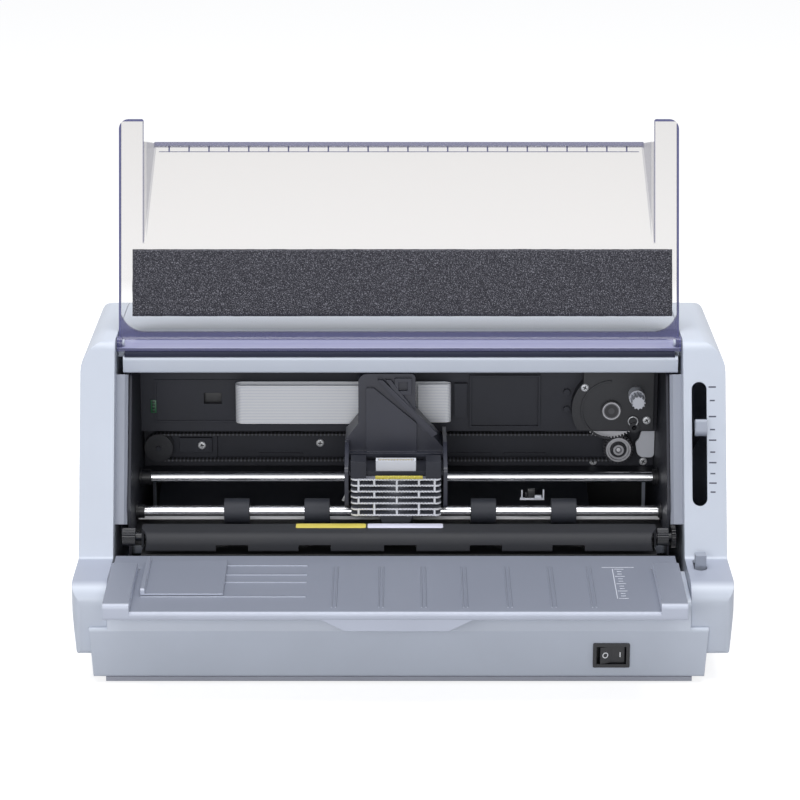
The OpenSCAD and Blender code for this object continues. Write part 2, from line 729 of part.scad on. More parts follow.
module rear_paper_guide() {
    rise = (slot_z0 - 1 - paper_z) / (rear_y - wall - 26.4);
    color(black) {
        x_prism(slot_l - 4, slot_r + 4)
            polygon([[26.4, paper_z], [rear_y - wall - 0.4, slot_z0 - 1],
                     [rear_y - wall - 0.4, slot_z0 - 3.5], [26.4, paper_z - 2.5]]);
        for (x = [mid - 85, slot_r - 23]) x_prism(x, x + 3)
            polygon([[100, housing_z], [130, housing_z],
                     [130, paper_z + 103 * rise - 2], [100, paper_z + 73 * rise - 2]]);
    }
}

module main_shaft() {
    color("#e8e9ec") x_rod(plate_l - 3, plate_r + 3, main_axis, shaft_d / 2);
}

// ---------- Paper feed ----------

module feed_shaft() {
    color("#e8e9ec") x_rod(plate_l - 2, gear_x + gear_w + 1, feed_axis, feed_d / 2);
}

module feed_rollers() {
    color("#3c3e45") for (x = roller_xs) difference() {
        x_rod(x - roller_w / 2, x + roller_w / 2, feed_axis, roller_d / 2);
        x_rod(x - roller_w, x + roller_w, feed_axis, feed_d / 2);
    }
}

module feed_gear() {
    color("white") x_gear(gear_x, gear_w, feed_axis, feed_teeth, train_a, feed_d / 2);
}

module idler_gear() {
    color("white") x_gear(gear_x, gear_w, idler_axis, idler_teeth,
        meshed(feed_teeth, train_a, train_a, idler_teeth), 2.5 + run_fit);
}

module front_gear() {
    color("white") x_gear(gear_x, gear_w, front_axis, front_teeth,
        meshed(idler_teeth, meshed(feed_teeth, train_a, train_a, idler_teeth), train_a, front_teeth), 3);
}

module front_rollers() {
    color(black) {
        x_rod(guide_l - 15, gear_x + gear_w + 0.6, front_axis, 3);
        for (x = roller_xs) x_rod(x - 9, x + 9, front_axis, front_roller_d / 2);
        for (x = [[guide_l - 15, guide_l - 5], [guide_r + 1, guide_r + 9.4]])
            x_prism(x[0], x[1]) translate(front_axis)
                polygon([for (i = [0:47]) (i % 2 == 0 ? 6.7 : 6.1) * [cos(i * 7.5), sin(i * 7.5)]]);
    }
}

module feed_motor() {
    color("#3a3b40") difference() {
        x_rod(in_r - 42, in_r, pinion_axis, 17.5);
        x_rod(in_r - 8, in_r + 1, pinion_axis, 2.5 + run_fit);
    }
}

module feed_pinion() {
    color("white") {
        x_gear(gear_x, gear_w, pinion_axis, pinion_teeth,
            meshed(feed_teeth, train_a, pinion_a, pinion_teeth), 2);
        x_rod(in_r - 7, gear_x + gear_w + 0.5, pinion_axis, 2.5);
    }
}

// ---------- Carriage ----------

// Outline of the carriage's tall housing in [x, z]
house_l = head_x - 29;
house_r = head_x + 15;
house_top = wall_top - 3;
house_2d = [[car_l, cradle_z + 2], [car_r, cradle_z + 2], [car_r, cradle_z + 9], [house_r, cradle_z + 36],
            [house_r, house_top, 3.2], [house_l, house_top, 7], [house_l, cradle_z + 31], [car_l, cradle_z + 18]];

module carriage_body() {
    color(black) difference() {
        union() {
            x_prism(car_l, car_r)
                polygon(rounded([[27, main_axis.y - 9.6, 3], [50, main_axis.y - 9.6, 3],
                                 [50, main_axis.y + 11.4, 6], [27, main_axis.y + 11.4, 6]]));
            for (x = [car_l, car_r - 3]) x_prism(x, x + 3)
                polygon(rounded([[-36, head_z + 4, 3], [0, head_z + 4, 0], [30, main_axis.y - 7.6, 0],
                                 [48, main_axis.y - 7.6, 4], [44, cradle_z + 18, 8],
                                 [-4, cradle_z + 18, 8], [-36, cradle_z + 6, 4]]));
            difference() {
                y_prism(2, 34) polygon(rounded(house_2d, 4));
                y_prism(4.5, 36) polygon(inset(rounded(house_2d, 4), 2.5));
            }
            x_prism(car_l, car_r)
                polygon([[-4, cradle_z + 6], [48, cradle_z + 6], [48, cradle_z + 9], [-4, cradle_z + 9]]);
            y_prism(-0.4, 2.1)
                polygon(rounded([[house_l + 6, cradle_z + 3.4, 2], [house_r + 1, cradle_z + 3.4, 2],
                                 [house_r + 1, cradle_z + 32, 1], [house_l + 12, cradle_z + 60, 1],
                                 [house_l + 6, cradle_z + 60, 1]], 3));
            for (k = [0, 1]) y_prism(-2 + k, 2.1)
                polygon([[house_l + 15 + 6 * k, house_top - 4], [house_l + 19 + 6 * k, house_top - 4],
                         [house_r + 17 - 6 * k, cradle_z + 24 + 3 * k],
                         [house_r + 13 - 6 * k, cradle_z + 21 + 3 * k]]);
            block([house_r - 16, -0.6, house_top - 16], [house_r - 3, 2.1, house_top - 3]);
            block([head_x - 9, 45, belt_z - 16.9], [head_x + 9, 82, belt_z - 4.4]);
            block([house_l, 33.9, flex_z - 17], [house_l + 6, 44.2, flex_z + 17]);
        }
        block([house_r - 13, -3, house_top - 13], [house_r - 6, 3, house_top - 6]);
        x_rod(car_l - 1, car_r + 1, main_axis, shaft_d / 2 + run_fit);
        block([head_x - 12, belt_y - belt_w / 2 - 0.3, belt_z - pulley_r - 0.3 - belt_t - 0.3],
              [head_x + 12, belt_y + belt_w / 2 + 0.3, belt_z - pulley_r]);
        block([head_x - 12, 45.5, belt_z - 0.4], [head_x + 12, 49, belt_z + 14.6]);
    }
}

module print_head() {
    at = [head_x, head_front + 22, head_z];
    color("#55575e") {
        translate(at) cylinder(h = head_h, r = 16.95);
        y_prism(at.y - 9, at.y + 4)
            polygon([[head_x - 6, paper_z + 1.3], [head_x + 6, paper_z + 1.3],
                     [head_x + 15, at.z + 0.1], [head_x - 15, at.z + 0.1]]);
    }
}

module heat_sink() {
    pitch = (head_h - 1.3) / (fin_n - 1);
    posts = [[-28.5, -16.5, 0.7, 17.5, 29.5], [-28.5, 0.7, 29.5], [-16.5, 17.5]];
    teeth = floor((head_w - 10) / fin_step / 2) * 2;
    notched = [[head_w / 2, head_front + 3], [head_w / 2, -6], [head_w / 2 - 4, -2], [4 - head_w / 2, -2],
               [-head_w / 2, -6], [-head_w / 2, head_front + 3], [1.5 - head_w / 2, head_front + 0.8],
               [3.5 - head_w / 2, head_front],
               for (k = [-teeth / 2:teeth / 2]) each [[(k - 0.25) * fin_step, head_front],
                                                      [(k + 0.25) * fin_step, head_front + 0.9]],
               [head_w / 2 - 3.5, head_front], [head_w / 2 - 1.5, head_front + 0.8]];
    color(steel) difference() {
        union() {
            for (i = [0:fin_n - 1]) translate([head_x, 0, head_z + i * pitch])
                linear_extrude(1.3) polygon(notched);
            for (i = [0:fin_n - 2], x = posts[i == 0 || i == fin_n - 2 ? 0 : i % 2 == 0 ? 1 : 2])
                translate([head_x + x, head_front + 1.5, head_z + i * pitch])
                    cylinder(h = pitch + 0.5, r = 0.9, $fn = 16);
        }
        translate([head_x, head_front + 22, head_z - 1]) cylinder(h = head_h + 2, r = 17);
    }
}

module head_cradle() {
    color("#5c5e66") {
        difference() {
            block([car_l + 3.3, head_front + 8, cradle_z + 0.3], [car_r - 3.3, -4.4, cradle_z + 3.4]);
            translate([head_x, head_front + 22, cradle_z - 1]) cylinder(h = 6, r = 6);
        }
        for (x = [-head_w / 2, head_w / 2 - 11.5]) translate([head_x + x, 0, 0])
            block([0, head_front + 2, cradle_z + 0.3], [11.5, head_front + 20, cradle_z + 13]);
    }
}

module head_connector() {
    color("#e6e8ee") translate([head_x, head_front + 10, cradle_z + 3.4]) difference() {
        block([-15.3, 0, 0], [15.3, 8, 8]);
        block([-13.8, 1.5, 2], [13.8, 6.5, 9]);
    }
}

// ---------- Belt and ribbon drive ----------

module drive_belt() {
    out_r = belt_in_r + belt_t;
    color("#1a1a1c") translate([0, belt_y + belt_w / 2, belt_z]) rotate([90, 0, 0]) linear_extrude(belt_w)
        difference() {
            union() {
                translate([idler_x, -out_r]) square([drive_x - idler_x, 2 * out_r]);
                for (x = [idler_x, drive_x]) translate([x, 0]) circle(r = out_r);
            }
            translate([idler_x, -belt_in_r]) square([drive_x - idler_x, 2 * belt_in_r]);
            for (x = [idler_x, drive_x]) translate([x, 0]) circle(r = belt_in_r);
        }
}

module drive_pulley() {
    at = [drive_x, belt_z];
    color(steel) {
        y_rod(belt_y - belt_w / 2 - 0.4, belt_y + belt_w / 2 + 0.4, at, pulley_r);
        y_rod(belt_y - belt_w / 2 - 1.4, belt_y - belt_w / 2 - 0.3, at, pulley_r + 2);
        y_rod(belt_y + belt_w / 2 + 0.3, belt_y + belt_w / 2 + 1.4, at, pulley_r + 2);
        y_rod(belt_y + belt_w / 2 + 1, channel_back + 2, at, 2.5);
        difference() {
            y_gear(65.9, 4.8, at, drive_teeth, ribbon_a);
            y_rod(65, 67.6, at, 8.6);
        }
        difference() {
            y_rod(65.2, 68, at, 5.4);
            y_rod(65, 66.5, at, 2);
        }
    }
}

module idler_pulley() {
    at = [idler_x, belt_z];
    color(black) difference() {
        union() {
            y_rod(belt_y - belt_w / 2 - 0.4, belt_y + belt_w / 2 + 0.4, at, pulley_r);
            y_rod(belt_y - belt_w / 2 - 1.4, belt_y - belt_w / 2 - 0.3, at, pulley_r + 1.8);
            y_rod(belt_y + belt_w / 2 + 0.3, belt_y + belt_w / 2 + 1.4, at, pulley_r + 1.8);
        }
        y_rod(belt_y - 10, belt_y + 10, at, 2 + run_fit);
    }
}

module belt_tensioner() {
    back = channel_back - wall_t;
    color(black) {
        block([idler_x - 9, back - 3, belt_z - 12], [idler_x + 46, back, belt_z + 12]);
        y_rod(belt_y - 6, back - 2.9, [idler_x, belt_z], 2);
        block([idler_x + 16, belt_y + belt_w / 2 + 1, belt_z - 6], [idler_x + 42, back - 2.9, belt_z + 6]);
    }
}

module carriage_motor() {
    color("#3a3b40") difference() {
        y_prism(channel_back, channel_back + 40)
            polygon(rounded([for (c = [[-1, -1], [1, -1], [1, 1], [-1, 1]]) [drive_x + 21 * c.x, belt_z + 21 * c.y, 5]]));
        y_rod(channel_back - 1, channel_back + 3, [drive_x, belt_z], 2.5 + run_fit);
    }
}

module ribbon_gear() {
    color("#e6e8ee") {
        y_gear(66, 4, ribbon_at, ribbon_teeth, meshed(drive_teeth, ribbon_a, ribbon_a, ribbon_teeth));
        y_rod(47, 66.1, ribbon_at, 3);
        y_gear(54, 4, ribbon_at, ribbon_front_teeth, spindle_a);
        y_rod(46, 49.6, ribbon_at, 7.8);
    }
}

module ribbon_spindle() {
    color("#e6e8ee") {
        y_gear(54, 4, spindle_at, spindle_teeth, meshed(ribbon_front_teeth, spindle_a, spindle_a, spindle_teeth));
        y_rod(49, wall_y + wall_t, spindle_at, 2.5);
        y_rod(38, 49.6, spindle_at, 6.2);
        y_prism(24, 38.1) translate(spindle_at) gear_2d(12, 0);
        y_rod(24, 38.1, spindle_at, 4.6);
    }
}

// Cover of the ribbon gears: a disc over the large gear, joined to a flat part over the small one
module gear_cover() {
    x1 = min(in_r - 1, spindle_at.x + 14);
    z0 = channel_top + 1.5;
    z1 = wall_top - 4;
    disc_r = 31;
    module cover_outline(d) {
        intersection() {
            union() {
                translate(ribbon_at) circle(r = disc_r - d);
                translate([ribbon_at.x - 22 + d, z0]) square([x1 - ribbon_at.x + 22 - 2 * d, z1 - z0 - d]);
            }
            translate([ribbon_at.x - 40, z0 + d]) square([x1 - ribbon_at.x + 40 - d, z1 - z0 - 2 * d]);
        }
    }
    color("#1f2024") difference() {
        union() {
            y_prism(50, wall_y) cover_outline(0);
            y_prism(48.8, 50.1) translate(ribbon_at) difference() {
                circle(r = disc_r - 7);
                circle(r = disc_r - 8.6);
                translate([0, -disc_r]) square(2 * disc_r);
            }
            y_rod(48.4, 50.1, ring_at, 4.2);
        }
        y_prism(52, wall_y + 1) cover_outline(1.6);
        y_rod(47, 53, ring_at, 1.8);
        y_rod(49, 53, ribbon_at, 3 + run_fit);
        y_rod(49, 53, spindle_at, 2.5 + run_fit);
    }
}

// Pale moulded arm beside the drive pulley
module pulley_guard() {
    x0 = in_r - 15.6;
    x1 = in_r - 0.6;
    color("#e6e8ee") {
        y_prism(72, 74.5)
            polygon(rounded([[x0 + 2, belt_z - 8, 6], [x1, belt_z - 8, 3], [x1, channel_top - 4, 1],
                             [x0 + 5, channel_top - 4, 1], [x0 + 3, belt_z + 8, 2], [x0, belt_z + 4, 2]]));
        block([x1 - 3, 74.4, belt_z - 5], [x1, channel_back - wall_t, channel_top - 8]);
    }
}

// Flat cable: one run to the carriage, a loop at the left and a run back to the wall
flex_l = head_x - 120;
flex_z = cradle_z + 33.3;
cable_end = head_x + 56;
module flat_cable() {
    y0 = 44.5;
    y1 = 57.5;
    t = 0.5;
    r = (y1 - y0) / 2;
    color("#eef0f4") translate([0, 0, flex_z - flex_w / 2]) linear_extrude(flex_w) {
        translate([flex_l, y0]) square([house_l + 6 - flex_l, t]);
        translate([flex_l, y1 - t]) square([cable_end - flex_l, t]);
        intersection() {
            difference() {
                translate([flex_l, y0 + r]) circle(r = r);
                translate([flex_l, y0 + r]) circle(r = r - t);
            }
            translate([flex_l - 2 * r, y0 - 1]) square([2 * r, 2 * r + 2]);
        }
    }
}

// ---------- Levers and switch ----------

module thickness_lever() {
    rest = on_slope(lever_s, 6);
    v = rest - lever_axis;
    color("#4a4c52") difference() {
        x_prism(lever_x - 1.5, lever_x + 1.5) {
            translate(lever_axis) circle(r = 8);
            translate(lever_axis) rotate(atan2(v.y, v.x)) translate([0, -4]) square([norm(v), 8]);
        }
        x_rod(lever_x - 3, lever_x + 3, lever_axis, 3 + run_fit);
    }
}

module lever_knob() {
    rest = on_slope(lever_s, 6);
    v = rest - lever_axis;
    color("#8d929c") x_prism(lever_x - 4.2, lever_x + 4.2) translate(lever_axis)
        rotate(atan2(v.y, v.x)) translate([norm(v), 0]) polygon(rounded([[0, -6, 1], [9, -6, 3], [9, 6, 3], [0, 6, 1]]));
}

module release_lever() {
    color("#8d929c") difference() {
        x_prism(release_x - release_w / 2, release_x + release_w / 2) {
            translate(release_axis) circle(r = 6);
            translate([release_axis.x - 2.5, release_axis.y]) square([5, ledge_z + 3 - release_axis.y]);
            translate([release_axis.x - 4.5, ledge_z + 2]) square([9, 8]);
        }
        x_rod(release_x - 5, release_x + 5, release_axis, 2.5 + run_fit);
    }
}

switch_y = base_y + 1;
module switch_bezel() {
    color("#17181b") translate([switch_at.x, 0, switch_at.y]) difference() {
        union() {
            y_prism(switch_y - 2.2, switch_y - 0.6)
                polygon(rounded([[-13.6, -9.4, 1], [13.6, -9.4, 1], [13.6, 9.4, 1], [-13.6, 9.4, 1]]));
            y_prism(switch_y - 0.7, switch_y + 18) square([25, 17], center = true);
        }
        y_prism(switch_y - 3, switch_y + 12) square([22, 13.6], center = true);
        translate([0, switch_y + 6, 0]) cylinder(h = 20, r = 1.2 + run_fit, center = true);
    }
}

module power_rocker() {
    color("#1d1e22") translate([switch_at.x, switch_y + 6, switch_at.y]) {
        rotate([0, 0, 9]) linear_extrude(12.8, center = true)
            polygon(rounded([[-9.6, -7.4, 1], [0, -5.8, 6], [9.6, -7.4, 1], [9.6, -3.5, 1], [2.5, 3, 1.5],
                             [-2.5, 3, 1.5], [-9.6, -3.5, 1]]));
        cylinder(h = 15.6, r = 1.2, center = true);
    }
}

// ---------- Electronics ----------

inlet_x = mid - 150;
port_x = mid + 60;
usb_x = mid + 112;

module main_board() {
    color("#2f6a45") {
        block([mid - 190, -50, housing_z + 7], [mid + 40, 95, housing_z + 8.6]);
        for (x = [mid - 182, mid + 32], y = [-44, 89]) translate([x, y, housing_z]) cylinder(h = 7, r = 3);
        block([mid - 120, 0, housing_z + 8.5], [mid - 90, 30, housing_z + 11.5]);
        block([mid - 60, 10, housing_z + 8.5], [mid - 35, 35, housing_z + 11.5]);
        for (i = [0:3]) translate([mid - 20, -30 + i * 20, housing_z + 8.5]) cylinder(h = 16, r = 6);
    }
}

module power_supply() {
    color("#9a9ca1") difference() {
        block([in_l + 16, rear_y - 81, housing_z], [in_l + 106, rear_y - 21, housing_z + 42]);
        block([in_l + 17.5, rear_y - 79.5, housing_z + 1.5], [in_l + 104.5, rear_y - 22.5, housing_z + 44]);
    }
}

module interface_ports() {
    color("#b9bcc3") {
        block([port_x - 30.7, rear_y - 24, 24.3], [port_x + 30.7, rear_y - 0.5, 37.7]);
        block([usb_x - 6.7, rear_y - 20, 24.3], [usb_x + 6.7, rear_y - 0.5, 36.7]);
        block([port_x - 40, rear_y - 50, 22], [usb_x + 14, rear_y - 12, 24.4]);
        for (x = [port_x - 34, usb_x + 8]) block([x, rear_y - 46, housing_z], [x + 4, rear_y - 16, 22.1]);
    }
}

module mains_inlet() {
    color("#17181b") translate([inlet_x, rear_y, 35.2]) difference() {
        block([-13.7, -20, -9.9], [13.7, -0.3, 9.9]);
        block([-11.5, -16, -7.5], [11.5, 1, 7.5]);
    }
}

module frame_screws() {
    color(steel) {
        for (p = [[ribbon_at.x - 21, channel_top + 36.7], [in_r - 9, channel_top + 10]])
            y_rod(48.6, 50, p, 3);
        for (p = [[drive_x - 18.7, channel_low + 6], [drive_x + 21.5, channel_low + 6], [head_x - 61, belt_z]])
            y_rod(channel_back - wall_t - 1.5, channel_back - wall_t, p, 3);
        y_rod(belt_y + belt_w / 2 - 0.5, belt_y + belt_w / 2 + 1, [idler_x + 34, belt_z], 3);
    }
}

base();
bottom_plate();
rubber_feet();
cheek_left();
cheek_right();
opening_rails();
cover_beam();
rear_cover();
rear_panel();
front_cover();
cover_foam();
front_tray();
edge_guide();
frame_plate_left();
frame_plate_right();
carriage_wall();
front_guide();
lower_guide();
platen();
steel_strip();
rear_paper_guide();
main_shaft();
feed_shaft();
feed_rollers();
feed_gear();
front_rollers();
front_gear();
idler_gear();
feed_motor();
feed_pinion();
carriage_body();
print_head();
heat_sink();
head_cradle();
head_connector();
drive_belt();
drive_pulley();
idler_pulley();
belt_tensioner();
carriage_motor();
ribbon_gear();
ribbon_spindle();
gear_cover();
pulley_guard();
flat_cable();
thickness_lever();
lever_knob();
release_lever();
switch_bezel();
power_rocker();
main_board();
power_supply();
interface_ports();
mains_inlet();
frame_screws();
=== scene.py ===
# %% [markdown]
# # A flatbed dot matrix printer with its lid up
# Its print head carries a column of pins along a shaft and strikes them through an inked ribbon onto the
# paper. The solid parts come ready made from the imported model. They could be modelled here again, but then
# the look and the working model would drift apart, so they are loaded first and never moved. Every cell
# after that either gives a surface its finish or adds small pieces that the solids leave out. The lid and
# the print head share a middle, 3 mm to the left of the middle of the case.

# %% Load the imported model
import math

import bmesh
import bpy
from mathutils import Matrix, Vector, noise


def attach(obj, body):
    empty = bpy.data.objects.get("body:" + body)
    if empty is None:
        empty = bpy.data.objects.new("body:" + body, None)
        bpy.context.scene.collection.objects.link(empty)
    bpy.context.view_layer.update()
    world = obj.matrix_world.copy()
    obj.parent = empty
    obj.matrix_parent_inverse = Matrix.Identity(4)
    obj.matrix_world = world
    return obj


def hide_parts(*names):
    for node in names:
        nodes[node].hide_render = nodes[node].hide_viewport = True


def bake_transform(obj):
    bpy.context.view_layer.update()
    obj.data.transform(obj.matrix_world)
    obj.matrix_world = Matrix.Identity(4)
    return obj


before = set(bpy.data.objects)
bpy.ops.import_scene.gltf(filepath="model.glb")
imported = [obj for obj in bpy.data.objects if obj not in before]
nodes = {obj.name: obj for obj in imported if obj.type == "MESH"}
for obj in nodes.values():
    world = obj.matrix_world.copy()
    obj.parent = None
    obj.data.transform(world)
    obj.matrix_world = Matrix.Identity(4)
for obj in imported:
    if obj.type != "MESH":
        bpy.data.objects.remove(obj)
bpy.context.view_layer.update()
MM = 0.001
MIDDLE_X = -3.0

# %% [markdown]
# Finishes and modifiers are small networks of nodes. Written out, each node takes four or five lines. Two
# helpers do it in one, so that the networks below stay readable. A third shows new data, such as a mesh or
# a lamp, in the scene.

# %% Helpers for nodes and objects
def plug(tree, socket, value):
    """Link the output of another node to a socket, or set a plain value on it."""
    if isinstance(value, bpy.types.NodeSocket):
        tree.links.new(value, socket)
    else:
        socket.default_value = value


def add_node(tree, kind, sockets=None, how=None):
    """A new node; sockets maps the names or numbers of its inputs to outputs or plain values."""
    node = tree.nodes.new(kind)
    if how:
        node.operation = how
    for name, value in (sockets or {}).items():
        plug(tree, node.inputs[name], value)
    return node


def new_object(name, data):
    """An object with this data, shown in the scene."""
    thing = bpy.data.objects.new(name, data)
    bpy.context.scene.collection.objects.link(thing)
    return thing


print("node helpers ready")

# %% [markdown]
# Smooth shading hides the flat facets of round parts, but a moulded case also has real corners. Marking
# them by hand would take long on 55 solids. Instead each is welded, and a modifier smooths it only where
# two faces meet at a small angle, so corners stay crisp and the meshes themselves don't change.

# %% Shade the solids
WELD_GAP = 0.02 * MM


def smoothing_group(degrees):
    """Geometry nodes that smooth every face but keep edges above an angle sharp."""
    name = f"smooth_below_{degrees}"
    if name in bpy.data.node_groups:
        return bpy.data.node_groups[name]
    group = bpy.data.node_groups.new(name, "GeometryNodeTree")
    for way in ("INPUT", "OUTPUT"):
        group.interface.new_socket("Geometry", in_out=way, socket_type="NodeSocketGeometry")
    mesh = add_node(group, "NodeGroupInput").outputs[0]
    angle = add_node(group, "GeometryNodeInputMeshEdgeAngle").outputs["Unsigned Angle"]
    steep = add_node(group, "FunctionNodeCompare", {0: angle, 1: math.radians(degrees)}, "GREATER_THAN")
    faces = add_node(group, "GeometryNodeSetShadeSmooth", {"Geometry": mesh})
    edges = add_node(group, "GeometryNodeSetShadeSmooth", {
        "Geometry": faces.outputs[0], "Selection": steep.outputs[0], "Shade Smooth": False})
    edges.domain = "EDGE"
    add_node(group, "NodeGroupOutput", {0: edges.outputs[0]})
    return group


def shade_by_angle(thing, degrees=32):
    """Smooth where faces nearly line up, sharp at real corners."""
    weld = thing.modifiers.new("weld", "WELD")
    weld.merge_threshold = WELD_GAP
    smooth = thing.modifiers.new("smooth", "NODES")
    smooth.node_group = smoothing_group(degrees)


for solid in nodes.values():
    shade_by_angle(solid)
print("shaded", len(nodes), "solids")

# %% [markdown]
# The camera stands a little above the printer and looks down at it through a long lens. A short lens from
# near by would spread the case towards its top; from far away upright edges stay nearly parallel, as in a
# catalogue.

# %% Camera
LENS_MM, SENSOR_MM = 130.5, 36
EYE = (-0.0022, -2.1436, 0.7959)
TILT_DOWN = 16
lens = bpy.data.cameras.new("catalogue_camera")
lens.lens = LENS_MM
lens.sensor_width = SENSOR_MM
lens.clip_end = 30
camera = new_object("catalogue_camera", lens)
camera.location = EYE
camera.rotation_euler = (math.radians(90 - TILT_DOWN), 0, 0)
bpy.context.scene.camera = camera
bpy.context.scene.view_settings.view_transform = "Standard"
print("camera at", EYE)

# %% [markdown]
# Arithmetic inside a network is done by nodes too. Four helpers cover it: a sum, a value stretched to a new
# range, two colours mixed by a share, and colours spread on a ramp.

# %% Arithmetic and colours in a network
MIX_INPUTS, MIX_RESULT = (0, 6, 7), 2


def calc(tree, how, *values):
    """One step of arithmetic on outputs or plain numbers."""
    return add_node(tree, "ShaderNodeMath", dict(enumerate(values)), how).outputs[0]


def clamp_map(tree, value, low, high, to_low=0.0, to_high=1.0):
    """Map a value from low..high to to_low..to_high and stop at the ends."""
    ends = {"Value": value, "From Min": low, "From Max": high, "To Min": to_low, "To Max": to_high}
    return add_node(tree, "ShaderNodeMapRange", ends).outputs[0]


def mix_colours(tree, share, first, second):
    """The first colour where share is 0 and the second where it is 1."""
    node = tree.nodes.new("ShaderNodeMix")
    node.data_type = "RGBA"
    for number, value in zip(MIX_INPUTS, (share, first, second)):
        plug(tree, node.inputs[number], value)
    return node.outputs[MIX_RESULT]


def colour_ramp(tree, share, stops, hard=False):
    """Colours along a share of 0 to 1, as (place, colour); hard stops don't run into each other."""
    node = add_node(tree, "ShaderNodeValToRGB", {"Fac": share})
    ramp = node.color_ramp
    ramp.interpolation = "CONSTANT" if hard else "LINEAR"
    ramp.elements.remove(ramp.elements[-1])
    ramp.elements[0].position, ramp.elements[0].color = stops[0]
    for place, colour in stops[1:]:
        ramp.elements.new(place).color = colour
    return node.outputs[0]


print("network helpers ready")

# %% [markdown]
# The backdrop is white paper. It has to look white to the camera and in glossy metal, yet must not flood
# the printer with light. One background can't do both, so the world asks what kind of ray it answers.

# %% White paper behind the printer
ROOM_COLOUR, ROOM_STRENGTH = (0.93, 0.96, 1.0, 1), 0.30
WHITE = (1, 1, 1, 1)


def is_seen_ray(tree):
    """A value of 1 for rays of the camera, of reflections and of see-through parts."""
    path = add_node(tree, "ShaderNodeLightPath").outputs
    seen = path["Is Camera Ray"]
    for kind in ("Is Glossy Ray", "Is Transmission Ray"):
        seen = calc(tree, "MAXIMUM", seen, path[kind])
    return seen


world = bpy.data.worlds.new("paper_white")
world.use_nodes = True
bpy.context.scene.world = world
sky = world.node_tree
sky.nodes.clear()
room_light = add_node(sky, "ShaderNodeBackground", {"Color": ROOM_COLOUR, "Strength": ROOM_STRENGTH})
paper_light = add_node(sky, "ShaderNodeBackground", {"Color": WHITE, "Strength": 1.0})
choose = add_node(sky, "ShaderNodeMixShader", {
    0: is_seen_ray(sky), 1: room_light.outputs[0], 2: paper_light.outputs[0]})
add_node(sky, "ShaderNodeOutputWorld", {"Surface": choose.outputs[0]})
print("world", world.name)

# %% [markdown]
# The printer stands on the same paper. A white floor would throw too much light up into the case, and a
# glowing one would lose the shadow. So it is mid-grey, and adds a glow only for rays that are seen.

# %% Floor
FLOOR_REACH = 6
FLOOR_GREY, FLOOR_GLOW = (0.45, 0.45, 0.46, 1), 0.80
corners = [(x * FLOOR_REACH, y * FLOOR_REACH, 0) for x, y in ((-1, -1), (1, -1), (1, 1), (-1, 1))]
floor_mesh = bpy.data.meshes.new("studio_floor")
floor_mesh.from_pydata(corners, [], [(0, 1, 2, 3)])
floor = new_object("studio_floor", floor_mesh)
paper = bpy.data.materials.new("floor_paper")
paper.use_nodes = True
tree = paper.node_tree
tree.nodes.clear()
lit = add_node(tree, "ShaderNodeBsdfDiffuse", {"Color": FLOOR_GREY}).outputs[0]
glow = add_node(tree, "ShaderNodeEmission", {"Strength": FLOOR_GLOW}).outputs[0]
both = add_node(tree, "ShaderNodeAddShader", {0: lit, 1: glow}).outputs[0]
pick = add_node(tree, "ShaderNodeMixShader", {0: is_seen_ray(tree), 1: lit, 2: both})
add_node(tree, "ShaderNodeOutputMaterial", {"Surface": pick.outputs[0]})
floor_mesh.materials.append(paper)
print("floor", 2 * FLOOR_REACH, "m wide")

# %% [markdown]
# Small bare lamps would draw hard shadows and burnt spots on the shafts. Four big softboxes give the plain,
# even light of a product table, the strongest one from above.

# %% Lamps
SOFTBOXES = {
    "top_softbox": ((0, -0.2, 2.4), (0, 0, 0.1), (2.4, 1.4), 52),
    "front_softbox": ((-0.3, -2.6, 0.8), (0, 0, 0.12), (1.4, 0.6), 23),
    "left_softbox": ((-2.2, -0.8, 0.9), (0, 0, 0.15), (1.0, 1.0), 6),
    "right_softbox": ((2.2, -0.8, 0.9), (0, 0, 0.15), (1.0, 1.0), 4),
}
for name, (place, target, size, watts) in SOFTBOXES.items():
    data = bpy.data.lights.new(name, "AREA")
    data.shape = "RECTANGLE"
    data.size, data.size_y = size
    data.energy = watts
    lamp = new_object(name, data)
    lamp.location = place
    lamp.rotation_euler = (Vector(target) - Vector(place)).to_track_quat("-Z", "Y").to_euler()
print("softboxes:", len(SOFTBOXES))

# %% [markdown]
# Colours are chosen as they look on a screen, from 0 to 255, but light is worked out in linear values. One
# helper turns the first into the second, and another makes a lighter or darker tone.

# %% Colours
def srgb(red, green, blue):
    """Turn screen values from 0 to 255 into the linear colour that a shader wants."""
    def one(v):
        v /= 255
        return v / 12.92 if v < 0.04045 else ((v + 0.055) / 1.055) ** 2.4
    return (one(red), one(green), one(blue), 1)


def shade(colour, k):
    """The same colour k times as light."""
    return (min(1, colour[0] * k), min(1, colour[1] * k), min(1, colour[2] * k), 1)


print("colour helpers ready")

# %% [markdown]
# Plastic, metal and rubber all start from one recipe. A real surface is slightly clouded, it has a fine
# grain, and its edges are rounded and catch the light; the finish also paints the edges lighter as a
# highlight. Painted textures would have to be unwrapped on every part. Noise that is worked out from the
# place on the part needs no unwrapping, has no seams and stays put when the part moves.

# %% The recipe for a finish
GRAIN_DEPTH = 0.2 * MM
EDGE_STARTS, EDGE_FULL = 0.985, 0.85


def bare_finish(name, rough=0.5):
    """A new material with its network and its shader."""
    made = bpy.data.materials.new(name)
    made.use_nodes = True
    shader = made.node_tree.nodes["Principled BSDF"]
    shader.inputs["Roughness"].default_value = rough
    return made, made.node_tree, shader


def own_place(tree):
    """The place of a point on its own part, in metres."""
    return add_node(tree, "ShaderNodeTexCoord").outputs["Object"]


def coat_solids(names, made):
    """Give whole solids one finish."""
    for name in names.split():
        nodes[name].data.materials.clear()
        nodes[name].data.materials.append(made)


